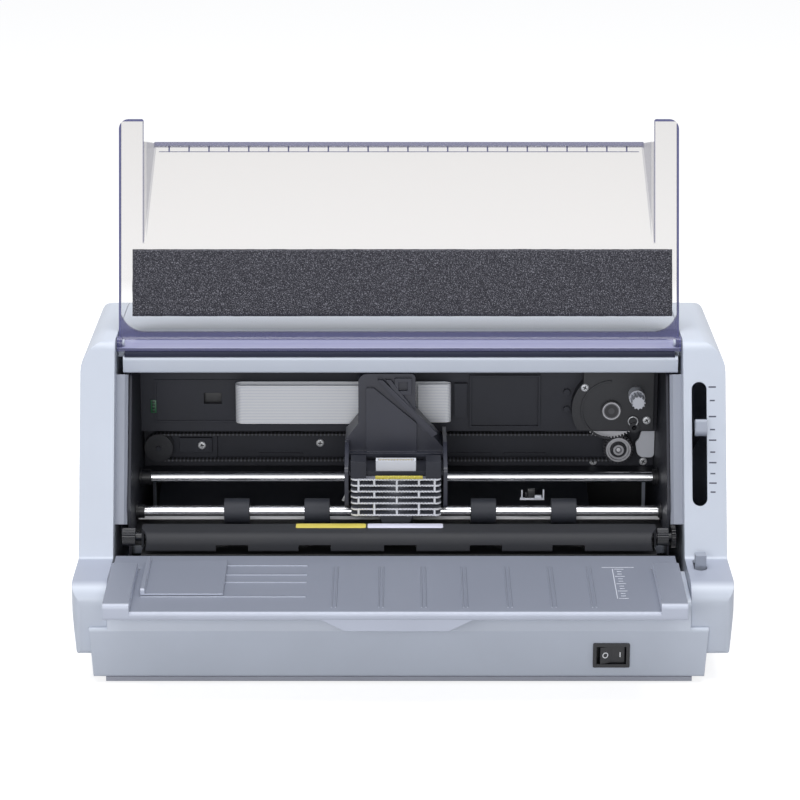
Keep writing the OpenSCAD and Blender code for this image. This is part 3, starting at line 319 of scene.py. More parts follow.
def finish(name, screen_colour, rough, solids="", grain=0.15, grain_mm=0.5, cloud=0.05, cloud_mm=45,
           metal=0.0, edge_mm=0.5, edge_highlight=1.06, stretch=(1, 1, 1)):
    """A finish with clouding, grain and soft edges painted lighter as a highlight; it coats the named solids.
    """
    made, t, shader = bare_finish(name)
    coat_solids(solids, made)
    colour = srgb(*screen_colour)
    shader.inputs["Metallic"].default_value = metal
    place = add_node(t, "ShaderNodeMapping", {"Vector": own_place(t), "Scale": stretch}).outputs[0]
    cloudy = add_node(t, "ShaderNodeTexNoise", {"Vector": place, "Scale": 1 / (cloud_mm * MM), "Detail": 3})
    clouds = cloudy.outputs["Fac"]
    tones = colour_ramp(t, clouds, [(0.3, shade(colour, 1 - cloud)), (0.7, shade(colour, 1 + cloud))])
    rounded = add_node(t, "ShaderNodeBevel", {"Radius": edge_mm * MM})
    rounded.samples = 4
    true = add_node(t, "ShaderNodeNewGeometry").outputs["Normal"]
    apart = add_node(t, "ShaderNodeVectorMath", {0: rounded.outputs[0], 1: true}, "DOT_PRODUCT")
    edge = clamp_map(t, apart.outputs["Value"], EDGE_STARTS, EDGE_FULL)
    # Painted highlight: where an edge is rounded, its colour is made lighter.
    plug(t, shader.inputs["Base Color"], mix_colours(t, edge, tones, shade(colour, edge_highlight)))
    fine = add_node(t, "ShaderNodeTexNoise", {"Vector": place, "Scale": 1 / (grain_mm * MM), "Detail": 2})
    bump = add_node(t, "ShaderNodeBump", {"Strength": grain, "Distance": GRAIN_DEPTH,
                                          "Height": fine.outputs["Fac"], "Normal": rounded.outputs[0]})
    plug(t, shader.inputs["Normal"], bump.outputs[0])
    plug(t, shader.inputs["Roughness"], clamp_map(t, clouds, 0, 1, rough - 0.05, rough + 0.05))
    return made


print("recipe ready")

# %% [markdown]
# Some parts get a second tone. On the tray, the cast fins and the low ledge of the cheeks, the faces that
# look up are painted a greyer shade than their fronts. The case is bare black plastic inside. A second
# material on single faces would change the solid, so the finish picks the tone itself, by which way a face
# looks or by whether it lies inside a box.

# %% Second tones, with painted shade on upward faces
LEANING, LEVEL, ANY_HEIGHT = 0.80, 0.985, 9.0
INSIDE_EDGE = 0.5 * MM


def axes(tree, vector):
    """The parts of a vector by the names X, Y and Z."""
    return add_node(tree, "ShaderNodeSeparateXYZ", {"Vector": vector}).outputs


def second_tone(made, share, colour):
    """Mix another colour into a finish by a share."""
    t = made.node_tree
    base = t.nodes["Principled BSDF"].inputs["Base Color"]
    before = base.links[0].from_socket
    plug(t, base, mix_colours(t, share, before, colour))


def paint_shade_upward(made, colour, below=ANY_HEIGHT):
    """Paint shade on the faces that look up, and lie below a height in metres, as a second, greyer tone."""
    t = made.node_tree
    facing = axes(t, add_node(t, "ShaderNodeNewGeometry").outputs["Normal"])["Z"]
    low = calc(t, "LESS_THAN", axes(t, own_place(t))["Z"], below)
    second_tone(made, calc(t, "MULTIPLY", clamp_map(t, facing, LEANING, LEVEL), low), colour)


def blacken_inside(made, low, high, colour):
    """Colour what lies inside a box, from low to high in mm, as the bare inside of a case."""
    t = made.node_tree
    at = axes(t, own_place(t))
    depth = 1.0
    for axis, start, stop in zip("XYZ", low, high):
        depth = calc(t, "MINIMUM", depth, calc(t, "SUBTRACT", at[axis], start * MM))
        depth = calc(t, "MINIMUM", depth, calc(t, "SUBTRACT", stop * MM, at[axis]))
    second_tone(made, clamp_map(t, depth, 0, INSIDE_EDGE), colour)


print("second tones ready")

# %% [markdown]
# The case is pale blue-grey plastic with a very fine spark-eroded texture. The tray, the rails beside the
# opening, the knobs and the plinth are the same plastic in darker greys, so one recipe with other numbers
# gives them all. Parts with a second tone get a finish of their own, so that it doesn't show on the others.

# %% Pale plastics of the case
CASE_TONE, CHEEK_LEDGE = (194, 201, 214), 0.13
BASE_HOLLOW = (-205.5, -70, 22), (199.5, 182, 300)
REAR_HOLLOW = (-207.5, 60, 20), (201.5, 183.8, 225)


def case_finish(name, solids):
    """The pale plastic of the case."""
    return finish(name, CASE_TONE, 0.42, solids, cloud=0.02, edge_mm=0.8)


case_finish("case_plastic", "rear_cover cover_beam")
base_plastic = case_finish("base_plastic", "base")
blacken_inside(base_plastic, *BASE_HOLLOW, srgb(26, 27, 30))
panel_plastic = case_finish("panel_plastic", "rear_panel")
blacken_inside(panel_plastic, *REAR_HOLLOW, srgb(24, 25, 28))
cheek_plastic = case_finish("cheek_plastic", "cheek_left cheek_right")
# Painted shade: the low ledge of each cheek looks up and lies under the cheek, so it is coloured greyer.
paint_shade_upward(cheek_plastic, srgb(160, 166, 182), below=CHEEK_LEDGE)
tray_plastic = finish("tray_plastic", (188, 194, 210), 0.42, "front_tray edge_guide", cloud=0.03, edge_mm=0.7)
# Painted shade: the upward faces of the tray are coloured greyer than its brightly lit front lip.
paint_shade_upward(tray_plastic, srgb(126, 131, 145))
finish("rail_plastic", (146, 151, 164), 0.42, "opening_rails", cloud=0.03)
finish("plinth_plastic", (160, 163, 175), 0.45, "bottom_plate", cloud=0.03)
finish("knob_plastic", (150, 156, 170), 0.4, "lever_knob release_lever", cloud=0.03)
print("finishes so far:", len(bpy.data.materials))

# %% [markdown]
# The mechanism is black so that stray light doesn't show, but each part is another black: matt on the paper
# guide, satin on the carriage. The guide down in the well is set darkest, as painted shade of the well.
# Edges get a stronger painted highlight than the case's, or black parts in front of black parts would melt
# into one.

# %% Black and white plastics
finish("black_plastic", (24, 26, 33), 0.42, "rear_paper_guide gear_cover idler_pulley front_rollers",
       grain=0.25, cloud=0.12, edge_mm=0.4, edge_highlight=1.5)
finish("guide_plastic", (20, 22, 29), 0.68, "front_guide", grain=0.3, cloud=0.12, edge_mm=0.4, edge_highlight=1.5)
# Painted shade: the lower guide sits deep in the well, so its black is set darkest.
finish("well_painted_shade", (15, 16, 20), 0.5, "lower_guide", grain=0.2, cloud=0.1)
finish("carriage_plastic", (40, 42, 54), 0.4, "carriage_body", grain=0.2, cloud=0.14, edge_highlight=1.6)
dark_plastic = finish(
    "dark_plastic", (26, 27, 31), 0.38,
    "switch_bezel power_rocker mains_inlet feed_gear front_gear idler_gear feed_pinion",
    grain=0.2, cloud=0.12, edge_mm=0.4, edge_highlight=1.6)
white_plastic = finish(
    "white_plastic", (214, 217, 226), 0.35, "ribbon_spindle head_connector pulley_guard flat_cable",
    cloud=0.02, edge_mm=0.3)
print("finishes so far:", len(bpy.data.materials))

# %% [markdown]
# Rubber is rougher than plastic and has a stronger grain. The toothed belt is thin, so from the front its
# teeth show as a row of light specks where they catch the light. They could be modelled one by one, but
# here the finish paints them as highlights: it lightens the belt in even steps, by a wave that runs up and
# down along X, cut off near its top.

# %% Rubber
BELT_HALF_PITCH = 1.52 * MM
TOOTH_FOOT, TOOTH_TIP = 0.8 * MM, 1.1 * MM
finish("roller_rubber", (38, 41, 50), 0.6, "feed_rollers", grain=0.35, grain_mm=0.3, cloud=0.08)
finish("foot_rubber", (36, 36, 38), 0.75, "rubber_feet", grain=0.4, cloud=0.1)
belt_rubber = finish("belt_rubber", (30, 30, 33), 0.6, "drive_belt", grain=0.4, cloud=0.1)
t = belt_rubber.node_tree
# Painted highlight: lighter steps along the belt stand for the light caught by its teeth.
wave = calc(t, "PINGPONG", axes(t, own_place(t))["X"], BELT_HALF_PITCH)
second_tone(belt_rubber, clamp_map(t, wave, TOOTH_FOOT, TOOTH_TIP), srgb(88, 90, 99))
print("belt pitch", round(2 * BELT_HALF_PITCH / MM, 2), "mm")

# %% [markdown]
# Ground shafts are smooth and bright with faint streaks from grinding, so their noise is stretched. Plates
# are painted dark or plated. The strip under the rollers is polished steel, coloured plain white as a
# painted reflection of the bright light it mirrors. The fins are raw die-cast metal, bright in front, with a
# painted greyer shade on top.

# %% Metals
finish("ground_steel", (222, 223, 227), 0.24, "main_shaft feed_shaft platen frame_screws",
       grain=0.01, cloud=0.03, metal=1.0, edge_mm=0.2, stretch=(0.2, 1, 1))
# Painted reflection: the polished strip is coloured plain white instead of being a mirror.
finish("strip_painted_reflection", (244, 244, 246), 0.4, "steel_strip", grain=0.05, cloud=0.02)
plated_steel = finish("plated_steel", (176, 178, 183), 0.36, "power_supply interface_ports",
                      grain=0.2, cloud=0.08, metal=0.9, edge_mm=0.3)
finish("dark_metal", (33, 35, 44), 0.5,
       "frame_plate_left frame_plate_right carriage_wall belt_tensioner thickness_lever head_cradle",
       grain=0.25, cloud=0.14, metal=0.3, edge_mm=0.3, edge_highlight=1.5)
cast_fins = finish("cast_fins", (226, 228, 233), 0.42, "heat_sink",
                   grain=0.3, cloud=0.06, metal=0.1, edge_mm=0.2)
# Painted shade: the tops of the fins are coloured greyer than their fronts.
paint_shade_upward(cast_fins, srgb(116, 118, 128))
finish("head_metal", (88, 90, 98), 0.45, "print_head", grain=0.3, cloud=0.1, metal=0.5, edge_mm=0.3)
finish("motor_metal", (50, 50, 55), 0.4, "carriage_motor feed_motor", grain=0.1, cloud=0.06, metal=0.6)
board_green = finish("board_green", (44, 98, 66), 0.3, "main_board", grain=0.1, cloud=0.1)
print("finishes so far:", len(bpy.data.materials))

# %% [markdown]
# Seen from the front, a pulley or a gear is a set of rings: hub, recess, web and rim, some in shadow and
# some in light. The solids have the main steps. The finish paints the shade and highlight of the narrow
# rings between them by a point's distance from the axis, which is cheaper than more turned detail and
# sharp at any size. Only the outer white of the gear is a colour of the part itself.

# %% Painted shade and highlight rings on the pulley and the gear
def paint_shade_rings(made, x, z, outer, bands):
    """Paint rings of shade and highlight around a front-to-back axis; bands are (from mm radius, grey level).
    """
    t = made.node_tree
    flat = add_node(t, "ShaderNodeVectorMath", {0: own_place(t), 1: (1, 0, 1)}, "MULTIPLY").outputs[0]
    away = add_node(t, "ShaderNodeVectorMath", {0: flat, 1: (x * MM, 0, z * MM)}, "DISTANCE")
    stops = [(start / outer, srgb(grey, grey, min(255, grey + 5))) for start, grey in bands]
    share = clamp_map(t, away.outputs["Value"], 0, outer * MM)
    plug(t, t.nodes["Principled BSDF"].inputs["Base Color"], colour_ramp(t, share, stops, hard=True))


PULLEY_X, PULLEY_Z, PULLEY_RADIUS = 171.8, 120.9, 14.0
GEAR_X, GEAR_Z, GEAR_RADIUS = 164.06, 158.9, 32.0
pulley_metal = finish("pulley_metal", (180, 182, 187), 0.36, "drive_pulley",
                      grain=0.05, metal=0.45, edge_mm=0.2)
# Painted shade and highlight: the greys of these rings stand for light and shadow on the steps.
paint_shade_rings(pulley_metal, PULLEY_X, PULLEY_Z, PULLEY_RADIUS, [
    (0, 225), (1.5, 110), (2.7, 178), (4.2, 50), (6.7, 182), (8.2, 130), (8.6, 190), (9.8, 64)])
gear_plastic = finish("gear_plastic", (214, 217, 226), 0.32, "ribbon_gear", grain=0.05, edge_mm=0.2)
paint_shade_rings(gear_plastic, GEAR_X, GEAR_Z, GEAR_RADIUS, [
    (0, 66), (2.4, 36), (5.3, 120), (6.1, 206), (6.9, 60), (8.8, 216)])
print("rings on the pulley and the gear")

# %% [markdown]
# The lid is one clear moulding with a faint smoky tint. Broad faces let nearly all light through. Edges,
# corner webs and the rounded hinge end look dark violet, because there one looks through far more plastic.
# Real refraction needs long renders and depends on what stands behind, so that dark violet is painted.
# A value for the painted refraction is found first, from the lid's own shape: 0 on the broad faces and up
# to 1 on the rims.

# %% Where the lid gets painted refraction
FIELD_HALF, FIELD_LOW, FIELD_CORNER = 195.5, 250.5, 19.2
SIDE_RIM, EAR_INSIDE, EAR_ROOT, EAR_TOP = 213.6, 196.8, 296.5, 386.6
WINDOW_HALF, WINDOW_TOP = 189.5, 364.0
HINGE_TOP, SHELF_TOP = 258.0, 225.8
WEB_DARK, HINGE_DARK, EAR_DARK, EDGE_DARK = 0.3, 0.86, 0.5, 0.6
lid_clear, t, shader = bare_finish("lid_clear", 0.08)
at = axes(t, own_place(t))
facing = axes(t, add_node(t, "ShaderNodeTexCoord").outputs["Normal"])


def past(value, edge, soft=0.6):
    """0 up to an edge in mm and 1 beyond it; a negative softness turns it round."""
    return clamp_map(t, value, edge * MM, (edge + soft) * MM)


def strongest(*shares):
    """The largest of several values."""
    most = shares[0]
    for share in shares[1:]:
        most = calc(t, "MAXIMUM", most, share)
    return most


out = calc(t, "ABSOLUTE", calc(t, "SUBTRACT", at["X"], MIDDLE_X * MM))
across = strongest(calc(t, "SUBTRACT", out, FIELD_HALF * MM), 0.0)
below = strongest(calc(t, "SUBTRACT", FIELD_LOW * MM, at["Z"]), 0.0)
squares = calc(t, "ADD", calc(t, "POWER", across, 2.0), calc(t, "POWER", below, 2.0))
hinge_end = calc(t, "MULTIPLY", past(calc(t, "POWER", squares, 0.5), FIELD_CORNER),
                 past(at["Z"], HINGE_TOP + 4, -4))
ear_inside = calc(t, "MULTIPLY", calc(t, "COMPARE", out, EAR_INSIDE * MM, 0.5 * MM),
                  past(at["Z"], EAR_ROOT, 1.0))
free_edge = calc(t, "MULTIPLY", past(at["Z"], WINDOW_TOP), past(out, WINDOW_HALF + 1, -1))
webs = clamp_map(t, calc(t, "ABSOLUTE", facing["X"]), 0.3, 0.8)
# Painted refraction: how far each place of the lid is painted dark violet and covers what lies behind.
painted_refraction = strongest(
    calc(t, "MULTIPLY", webs, WEB_DARK), calc(t, "MULTIPLY", hinge_end, HINGE_DARK), past(out, SIDE_RIM),
    calc(t, "MULTIPLY", ear_inside, EAR_DARK), past(at["Z"], EAR_TOP),
    calc(t, "MULTIPLY", free_edge, EDGE_DARK))
print("lid network:", len(t.nodes), "nodes")

# %% [markdown]
# That value drives the colour, from warm smoke to the painted violet, and how much of what lies behind is
# covered. The narrow shelf in front of the hinge faces the lamps and looks pale, so its upward faces get a
# painted highlight: a pale tone of their own.

# %% Tint of the lid, with painted refraction and a painted highlight
SHELF_HIGHLIGHT = srgb(172, 174, 208)
SMOKE, SMOKY_VIOLET, VIOLET = srgb(118, 98, 78), srgb(92, 92, 128), srgb(88, 90, 134)
# Painted highlight: the upward faces of the shelf, which face the lamps, are coloured pale.
shelf = calc(t, "MULTIPLY", past(at["Z"], SHELF_TOP + 0.4, -0.4), clamp_map(t, facing["Z"], 0.6, 0.8))
tint = colour_ramp(t, painted_refraction, [(0.0, SMOKE), (0.4, SMOKY_VIOLET), (1.0, VIOLET)])
plug(t, shader.inputs["Base Color"], mix_colours(t, shelf, tint, SHELF_HIGHLIGHT))
haze = clamp_map(t, at["Z"], 0.250, 0.270, 0.03, 0.155)
cover = calc(t, "MINIMUM", calc(t, "MULTIPLY_ADD", painted_refraction, 0.8, haze), 1.0)
plug(t, shader.inputs["Alpha"], cover)
shader.inputs["IOR"].default_value = 1.49
coat_solids("front_cover", lid_clear)
print("finishes so far:", len(bpy.data.materials))

# %% [markdown]
# The small pieces that follow are built in code, because their sizes in millimetres are known. Most are
# bars. Where their edges show, a bevel softens them, so that light catches them as it does on real parts.
# Every piece rides on the body that carries it, so that it moves with its joint.

# %% Bars, and what every piece gets
BEVEL_ABOVE, SMOOTH_BELOW = 40, 40


def bar(bm, centre, size, turn=None, finish_no=0):
    """A bar with its centre and size in mm, turned by a matrix if one is given."""
    made = bmesh.ops.create_cube(bm, size=1.0)
    matrix = Matrix.Translation(Vector(centre) * MM)
    if turn is not None:
        matrix = matrix @ turn.to_4x4()
    matrix = matrix @ Matrix.Diagonal((*(side * MM for side in size), 1))
    bmesh.ops.transform(bm, matrix=matrix, verts=made["verts"])
    for face in {f for v in made["verts"] for f in v.link_faces}:
        face.material_index = finish_no


def spread(count, step):
    """Distances in mm for a row of things, centred on 0."""
    return [step * (k - (count - 1) / 2) for k in range(count)]


def meshed(name, bm, finishes):
    """An object from loose faces, with all of them turned outwards."""
    bmesh.ops.recalc_face_normals(bm, faces=bm.faces)
    mesh = bpy.data.meshes.new(name)
    bm.to_mesh(mesh)
    bm.free()
    for made in finishes:
        mesh.materials.append(made)
    print(name, "with", len(mesh.vertices), "points")
    return new_object(name, mesh)


def piece(name, bm, body, finishes, bevel_mm=0):
    """Make the object, soften its edges if asked and let it ride on its body."""
    thing = meshed(name, bm, finishes)
    if bevel_mm:
        soft = thing.modifiers.new("soft_edges", "BEVEL")
        soft.width = bevel_mm * MM
        soft.segments = 2
        soft.limit_method = "ANGLE"
        soft.angle_limit = math.radians(BEVEL_ABOVE)
    shade_by_angle(thing, SMOOTH_BELOW)
    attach(thing, body)
    return thing


print("bars ready")

# %% [markdown]
# Screws, bushes and wires are round. All are rings of points, joined to the next ring and closed at both
# ends, so one helper makes the ring and another the skin. A lathe shape has its rings on a straight axis.

# %% Round shapes
def ring_of_points(bm, centre, side, other, radius, steps):
    """Points on a circle that starts at one direction and turns towards the other; sizes in mm."""
    turns = (2 * math.pi * k / steps for k in range(steps))
    return [bm.verts.new((centre + (side * math.cos(a) + other * math.sin(a)) * radius) * MM) for a in turns]


def skin_rings(bm, rings):
    """Join each ring to the next and close both ends."""
    steps = len(rings[0])
    for low, high in zip(rings, rings[1:]):
        for k in range(steps):
            after = (k + 1) % steps
            bm.faces.new((low[k], low[after], high[after], high[k]))
    bm.faces.new(list(reversed(rings[0])))
    bm.faces.new(rings[-1])


def turned(bm, centre, axis, profile, steps=24):
    """A shape turned on a lathe: profile is a list of (mm along the axis, mm radius)."""
    along = Vector(axis).normalized()
    side = along.orthogonal().normalized()
    other = along.cross(side)
    skin_rings(bm, [ring_of_points(bm, Vector(centre) + along * offset, side, other, radius, steps)
                    for offset, radius in profile])


print("lathe ready")

# %% [markdown]
# A strip of open-cell foam on the lid damps the noise of the pins. Bubbles could be cut into the mesh, but
# they are about a millimetre wide and there are thousands. So the finish makes them: round cells whose
# pits are painted darker as shade, deepened by a bump, with painted pale glints where cell walls catch the
# light.

# %% Skin of the foam
CELLS_PER_M, GLINTS_PER_M = 900, 1500
CELL_DEPTH = 0.6 * MM
foam_skin, t, shader = bare_finish("foam_skin", 0.95)
place = own_place(t)
cells = add_node(t, "ShaderNodeTexVoronoi", {"Vector": place, "Scale": CELLS_PER_M, "Randomness": 1.0})
drift = add_node(t, "ShaderNodeTexNoise", {"Vector": place, "Scale": GLINTS_PER_M, "Detail": 1})
# Painted highlight and shade: pale glints where cell walls catch the light, and darker pits.
glint_share = clamp_map(t, drift.outputs["Fac"], 0.53, 0.66)
glints = mix_colours(t, glint_share, srgb(42, 42, 50), srgb(128, 128, 137))
wall_share = clamp_map(t, cells.outputs["Distance"], 0.1, 0.5)
plug(t, shader.inputs["Base Color"], mix_colours(t, wall_share, srgb(38, 38, 44), glints))
pits = add_node(t, "ShaderNodeBump", {
    "Strength": 0.7, "Distance": CELL_DEPTH, "Height": cells.outputs["Distance"]})
plug(t, shader.inputs["Normal"], pits.outputs[0])
print("foam skin:", len(t.nodes), "nodes")

# %% [markdown]
# The foam is soft, so its front is slightly crowned, its rims are rounded and its cut edges wander. It is
# glued flat and never hangs or folds, so a simulation would add nothing. A dense grid of points is moved a
# little by a formula and by noise of two sizes. The block stands on the raised lid: from the lid's bend,
# its root, one direction runs up the wall and one behind it.

# %% Sound foam on the lid
LID_ROOT = Vector((0, 15.84, 222.59))
LID_UP = Vector((0, 0.2749, 0.9615))
LID_BACK = Vector((0, 0.9615, -0.2749))
LID_WALL, GLUE = 2.5, 0.05
FOAM_LEFT, FOAM_RIGHT = -207.9, 207.1
FOAM_LOW, FOAM_HIGH, FOAM_THICK = 20.0, 72.0, 8.0
RIM_DROP, RIM_WIDTH, CROWN, CROWN_BEND, FRONT_SINK = 1.9, 2.5, 0.3, 1.4, 0.35
CUT_IN, CUT_WANDER, ON_EDGE = 0.35, 0.25, 0.499
X_CUTS, Y_CUTS, Z_CUTS = 138, 5, 25
WIDE_LUMPS, SMALL_LUMPS = (0.21, 3.1, 0.16), (0.9, 8, 0.1)
bm = bmesh.new()
bmesh.ops.create_cube(bm, size=1.0)
for axis, cuts in ((0, X_CUTS), (2, Z_CUTS), (1, Y_CUTS)):
    edges = [e for e in bm.edges if abs((e.verts[0].co - e.verts[1].co)[axis]) > 1e-6]
    bmesh.ops.subdivide_edges(bm, edges=edges, cuts=cuts, use_grid_fill=True)
half = Vector(((FOAM_RIGHT - FOAM_LEFT) / 2, FOAM_THICK / 2, (FOAM_HIGH - FOAM_LOW) / 2))
middle_up = (FOAM_LOW + FOAM_HIGH) / 2
centre = (Vector(((FOAM_LEFT + FOAM_RIGHT) / 2, 0, 0)) + LID_ROOT + LID_UP * middle_up
          - LID_BACK * (LID_WALL + half.y + GLUE)) * MM
for v in bm.verts:
    p = Vector((v.co.x * 2 * half.x, v.co.y * 2 * half.y, v.co.z * 2 * half.z))
    rim = min(half.x - abs(p.x), half.z - abs(p.z))
    front = 0.5 - v.co.y
    rounded = RIM_DROP * max(0, 1 - rim / RIM_WIDTH) ** 2
    crowned = CROWN * (1 - math.cos(p.z / half.z * CROWN_BEND))
    lumps = sum(noise.noise(Vector((p.x * finer, p.z * finer, layer))) * deep
                for finer, layer, deep in (WIDE_LUMPS, SMALL_LUMPS))
    p.y += front * (rounded + FRONT_SINK + crowned + lumps)
    draw_in = CUT_IN + CUT_WANDER * noise.noise(Vector((p.x * 0.12, p.y * 0.4, p.z * 0.12)))
    p.x -= math.copysign(draw_in, p.x) * (abs(v.co.x) > ON_EDGE)
    p.z -= math.copysign(draw_in, p.z) * (abs(v.co.z) > ON_EDGE)
    v.co = centre + Vector((p.x, 0, 0)) * MM + LID_UP * (p.z * MM) + LID_BACK * (p.y * MM)
lid_foam = piece("lid_foam", bm, "front_cover", [foam_skin])
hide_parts("cover_foam")

# %% [markdown]
# The gap on the beam under the hinge lies in deep shade, so a dark, rough strip is put on the beam there
# as painted shade. One long bar would look like plastic, so it is a row of short ones whose height wanders
# a little.

# %% Painted shade strip under the hinge
GAP_SHADE_LEFT, GAP_SHADE_STEP, GAP_SHADE_BARS = -212.4, 10.0, 42
GAP_SHADE_Y, GAP_SHADE_Z, GAP_SHADE_WIDE, GAP_SHADE_THICK, GAP_SHADE_WAVE = -0.6, 218.9, 13.2, 3.0, 0.08
# Painted shade: a dark strip stands in the shaded gap under the hinge.
gap_shade = finish("gap_shade", (36, 40, 60), 0.9, grain=0.6, grain_mm=0.6, cloud=0.1)
bm = bmesh.new()
for k in range(GAP_SHADE_BARS):
    lift = GAP_SHADE_WAVE * noise.noise(Vector((k * 0.7, 0, 0)))
    spot = (GAP_SHADE_LEFT + GAP_SHADE_STEP * (k + 0.5), GAP_SHADE_Y, GAP_SHADE_Z + lift)
    bar(bm, spot, (GAP_SHADE_STEP + 0.02, GAP_SHADE_WIDE, GAP_SHADE_THICK))
piece("hinge_gap_shade", bm, "chassis", [gap_shade])

# %% [markdown]
# The free edge of the window carries a scale for lining up paper: fine ridges moulded into the clear
# plastic with one thin line under them. Their dark violet is painted refraction, as on the rims of the lid.
# They are many small bars joined into one mesh. The window leans further back than the lid, so it has its
# own root and directions.

# %% Scale on the lid's window
WINDOW_ROOT = Vector((0, 34.51, 296.77))
WINDOW_UP = Vector((0, 0.4810, 0.8767))
WINDOW_BACK = Vector((0, 0.8767, -0.4810))
TICKS, FIRST_TICK, TICK_STEP = 24, -181.1, 15.42
TICKS_UP, LINE_UP, RAISED = 75.9, 73.6, 0.12
TICK_SIZE, LINE_SIZE = (0.35, 1.15, 4.0), (0.35, 372.0, 0.5)
# Painted refraction: the clear ridges are coloured dark violet.
scale_tone = finish("scale_tone", (92, 93, 128), 0.3, grain=0.05)
lean = WINDOW_UP.to_track_quat("Z", "X").to_matrix()
bm = bmesh.new()
spot = WINDOW_ROOT + WINDOW_UP * TICKS_UP - WINDOW_BACK * RAISED
for k in range(TICKS):
    bar(bm, (FIRST_TICK + TICK_STEP * k, spot.y, spot.z), TICK_SIZE, lean)
spot = WINDOW_ROOT + WINDOW_UP * LINE_UP - WINDOW_BACK * RAISED
bar(bm, (MIDDLE_X, spot.y, spot.z), LINE_SIZE, lean)
piece("window_scale", bm, "front_cover", [scale_tone], bevel_mm=0.05)

# %% [markdown]
# A flat cable is a thin plastic film with copper lanes in it. Single wires would be hair-thin boxes, so the
# finish draws them: a wave across the film makes the lanes, and a faint bump lifts them.

# %% Film of the flat cable
LANE_PITCH = 1.25 * MM
film, t, shader = bare_finish("cable_film", 0.3)
lanes = calc(t, "PINGPONG", calc(t, "MULTIPLY", axes(t, own_place(t))["Z"], 1 / LANE_PITCH), 0.5)
tracks = mix_colours(t, clamp_map(t, lanes, 0.1, 0.22), srgb(205, 211, 226), srgb(250, 251, 253))
plug(t, shader.inputs["Base Color"], tracks)
raised = add_node(t, "ShaderNodeBump", {"Strength": 0.3, "Distance": 0.1 * MM, "Height": lanes})
plug(t, shader.inputs["Normal"], raised.outputs[0])
print("lane pitch", LANE_PITCH / MM, "mm")

# %% [markdown]
# The cable stands on its edge behind the carriage, as a band that follows a path. A curve with a bevel
# could do that, but a band of points keeps its width exactly. It has two skins of points, either side of
# the path, closed at the top, the bottom and both ends.

# %% A band along a path
CABLE_LOW, CABLE_HIGH, CABLE_ROWS = 149.0, 180.0, 7
CABLE_THICK = 0.3


def cable_band(name, path):
    """A thin band of the cable that follows a path of (x, y) points in mm."""
    bm = bmesh.new()
    rise = (CABLE_HIGH - CABLE_LOW) / (CABLE_ROWS - 1)
    heights = [CABLE_LOW + rise * k for k in range(CABLE_ROWS)]
    skins = outer, inner = [], []
    for k, (x, y) in enumerate(path):
        before, after = path[max(k - 1, 0)], path[min(k + 1, len(path) - 1)]
        run = Vector((after[0] - before[0], after[1] - before[1])).normalized()
        aside = Vector((-run.y, run.x)) * CABLE_THICK / 2
        for skin, way in zip(skins, (1, -1)):
            at_x, at_y = x + way * aside.x, y + way * aside.y
            skin.append([bm.verts.new(Vector((at_x, at_y, z)) * MM) for z in heights])
    for skin in skins:
        for a, b in zip(skin, skin[1:]):
            for k in range(CABLE_ROWS - 1):
                bm.faces.new((a[k], b[k], b[k + 1], a[k + 1]))
    for edge in (0, CABLE_ROWS - 1):
        for a, b, c, d in zip(outer, outer[1:], inner[1:], inner):
            bm.faces.new((a[edge], b[edge], c[edge], d[edge]))
    for k in (0, len(path) - 1):
        for j in range(CABLE_ROWS - 1):
            bm.faces.new((outer[k][j], outer[k][j + 1], inner[k][j + 1], inner[k][j]))
    return meshed(name, bm, [film])


print("cable height:", CABLE_HIGH - CABLE_LOW, "mm")

# %% [markdown]
# The cable carries the signals to the print head. It lies in two runs joined by a loop, which moves half as
# far as the carriage. One rigid piece would tear off, so it is built as two bands: the rear run with its
# fold and loop, and the front run.

# %% Flat cable
LOOP_X, CABLE_FRONT, CABLE_BACK = -125.3, 44.5, 57.5
CABLE_START, CABLE_PLUG = 12.0, -28.5
FOLD_X, FOLD_RADIUS, SKIN = 33.5, 4.3, 0.3
LEAD_STEPS, FOLD_STEPS, BACK_STEPS, LOOP_STEPS, FRONT_STEPS = 4, 12, 30, 16, 20
loop_middle = (CABLE_FRONT + CABLE_BACK) / 2
loop_radius = (CABLE_BACK - CABLE_FRONT) / 2 - SKIN
fold_middle = CABLE_BACK - SKIN - FOLD_RADIUS
back_path = [(CABLE_START + k * (FOLD_X - CABLE_START) / LEAD_STEPS, fold_middle - FOLD_RADIUS)
             for k in range(LEAD_STEPS + 1)]
back_path += [(FOLD_X + FOLD_RADIUS * math.sin(a), fold_middle - FOLD_RADIUS * math.cos(a))
              for a in (math.pi * k / FOLD_STEPS for k in range(1, FOLD_STEPS))]
back_path += [(FOLD_X - k * (FOLD_X - LOOP_X) / BACK_STEPS, CABLE_BACK - SKIN)
              for k in range(BACK_STEPS + 1)]
back_path += [(LOOP_X - loop_radius * math.sin(a), loop_middle + loop_radius * math.cos(a))
              for a in (math.pi * k / LOOP_STEPS for k in range(1, LOOP_STEPS + 1))]
front_path = [(LOOP_X + k * (CABLE_PLUG - LOOP_X) / FRONT_STEPS, CABLE_FRONT + SKIN)
              for k in range(FRONT_STEPS + 1)]
cable_back = cable_band("cable_back_run", back_path)
cable_front = cable_band("cable_front_run", front_path)
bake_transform(cable_back)
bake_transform(cable_front)
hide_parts("flat_cable")
print("cable loop radius", loop_radius, "mm")

# %% [markdown]
# The screws have shallow domed heads with a cross recess. Cutting it in would take a boolean on every
# screw. From a metre away a dark cross reads the same, so each head is turned and two dark bars lie in it
# as the painted shade of the recess, each cross at another angle, as screws never stop in line.

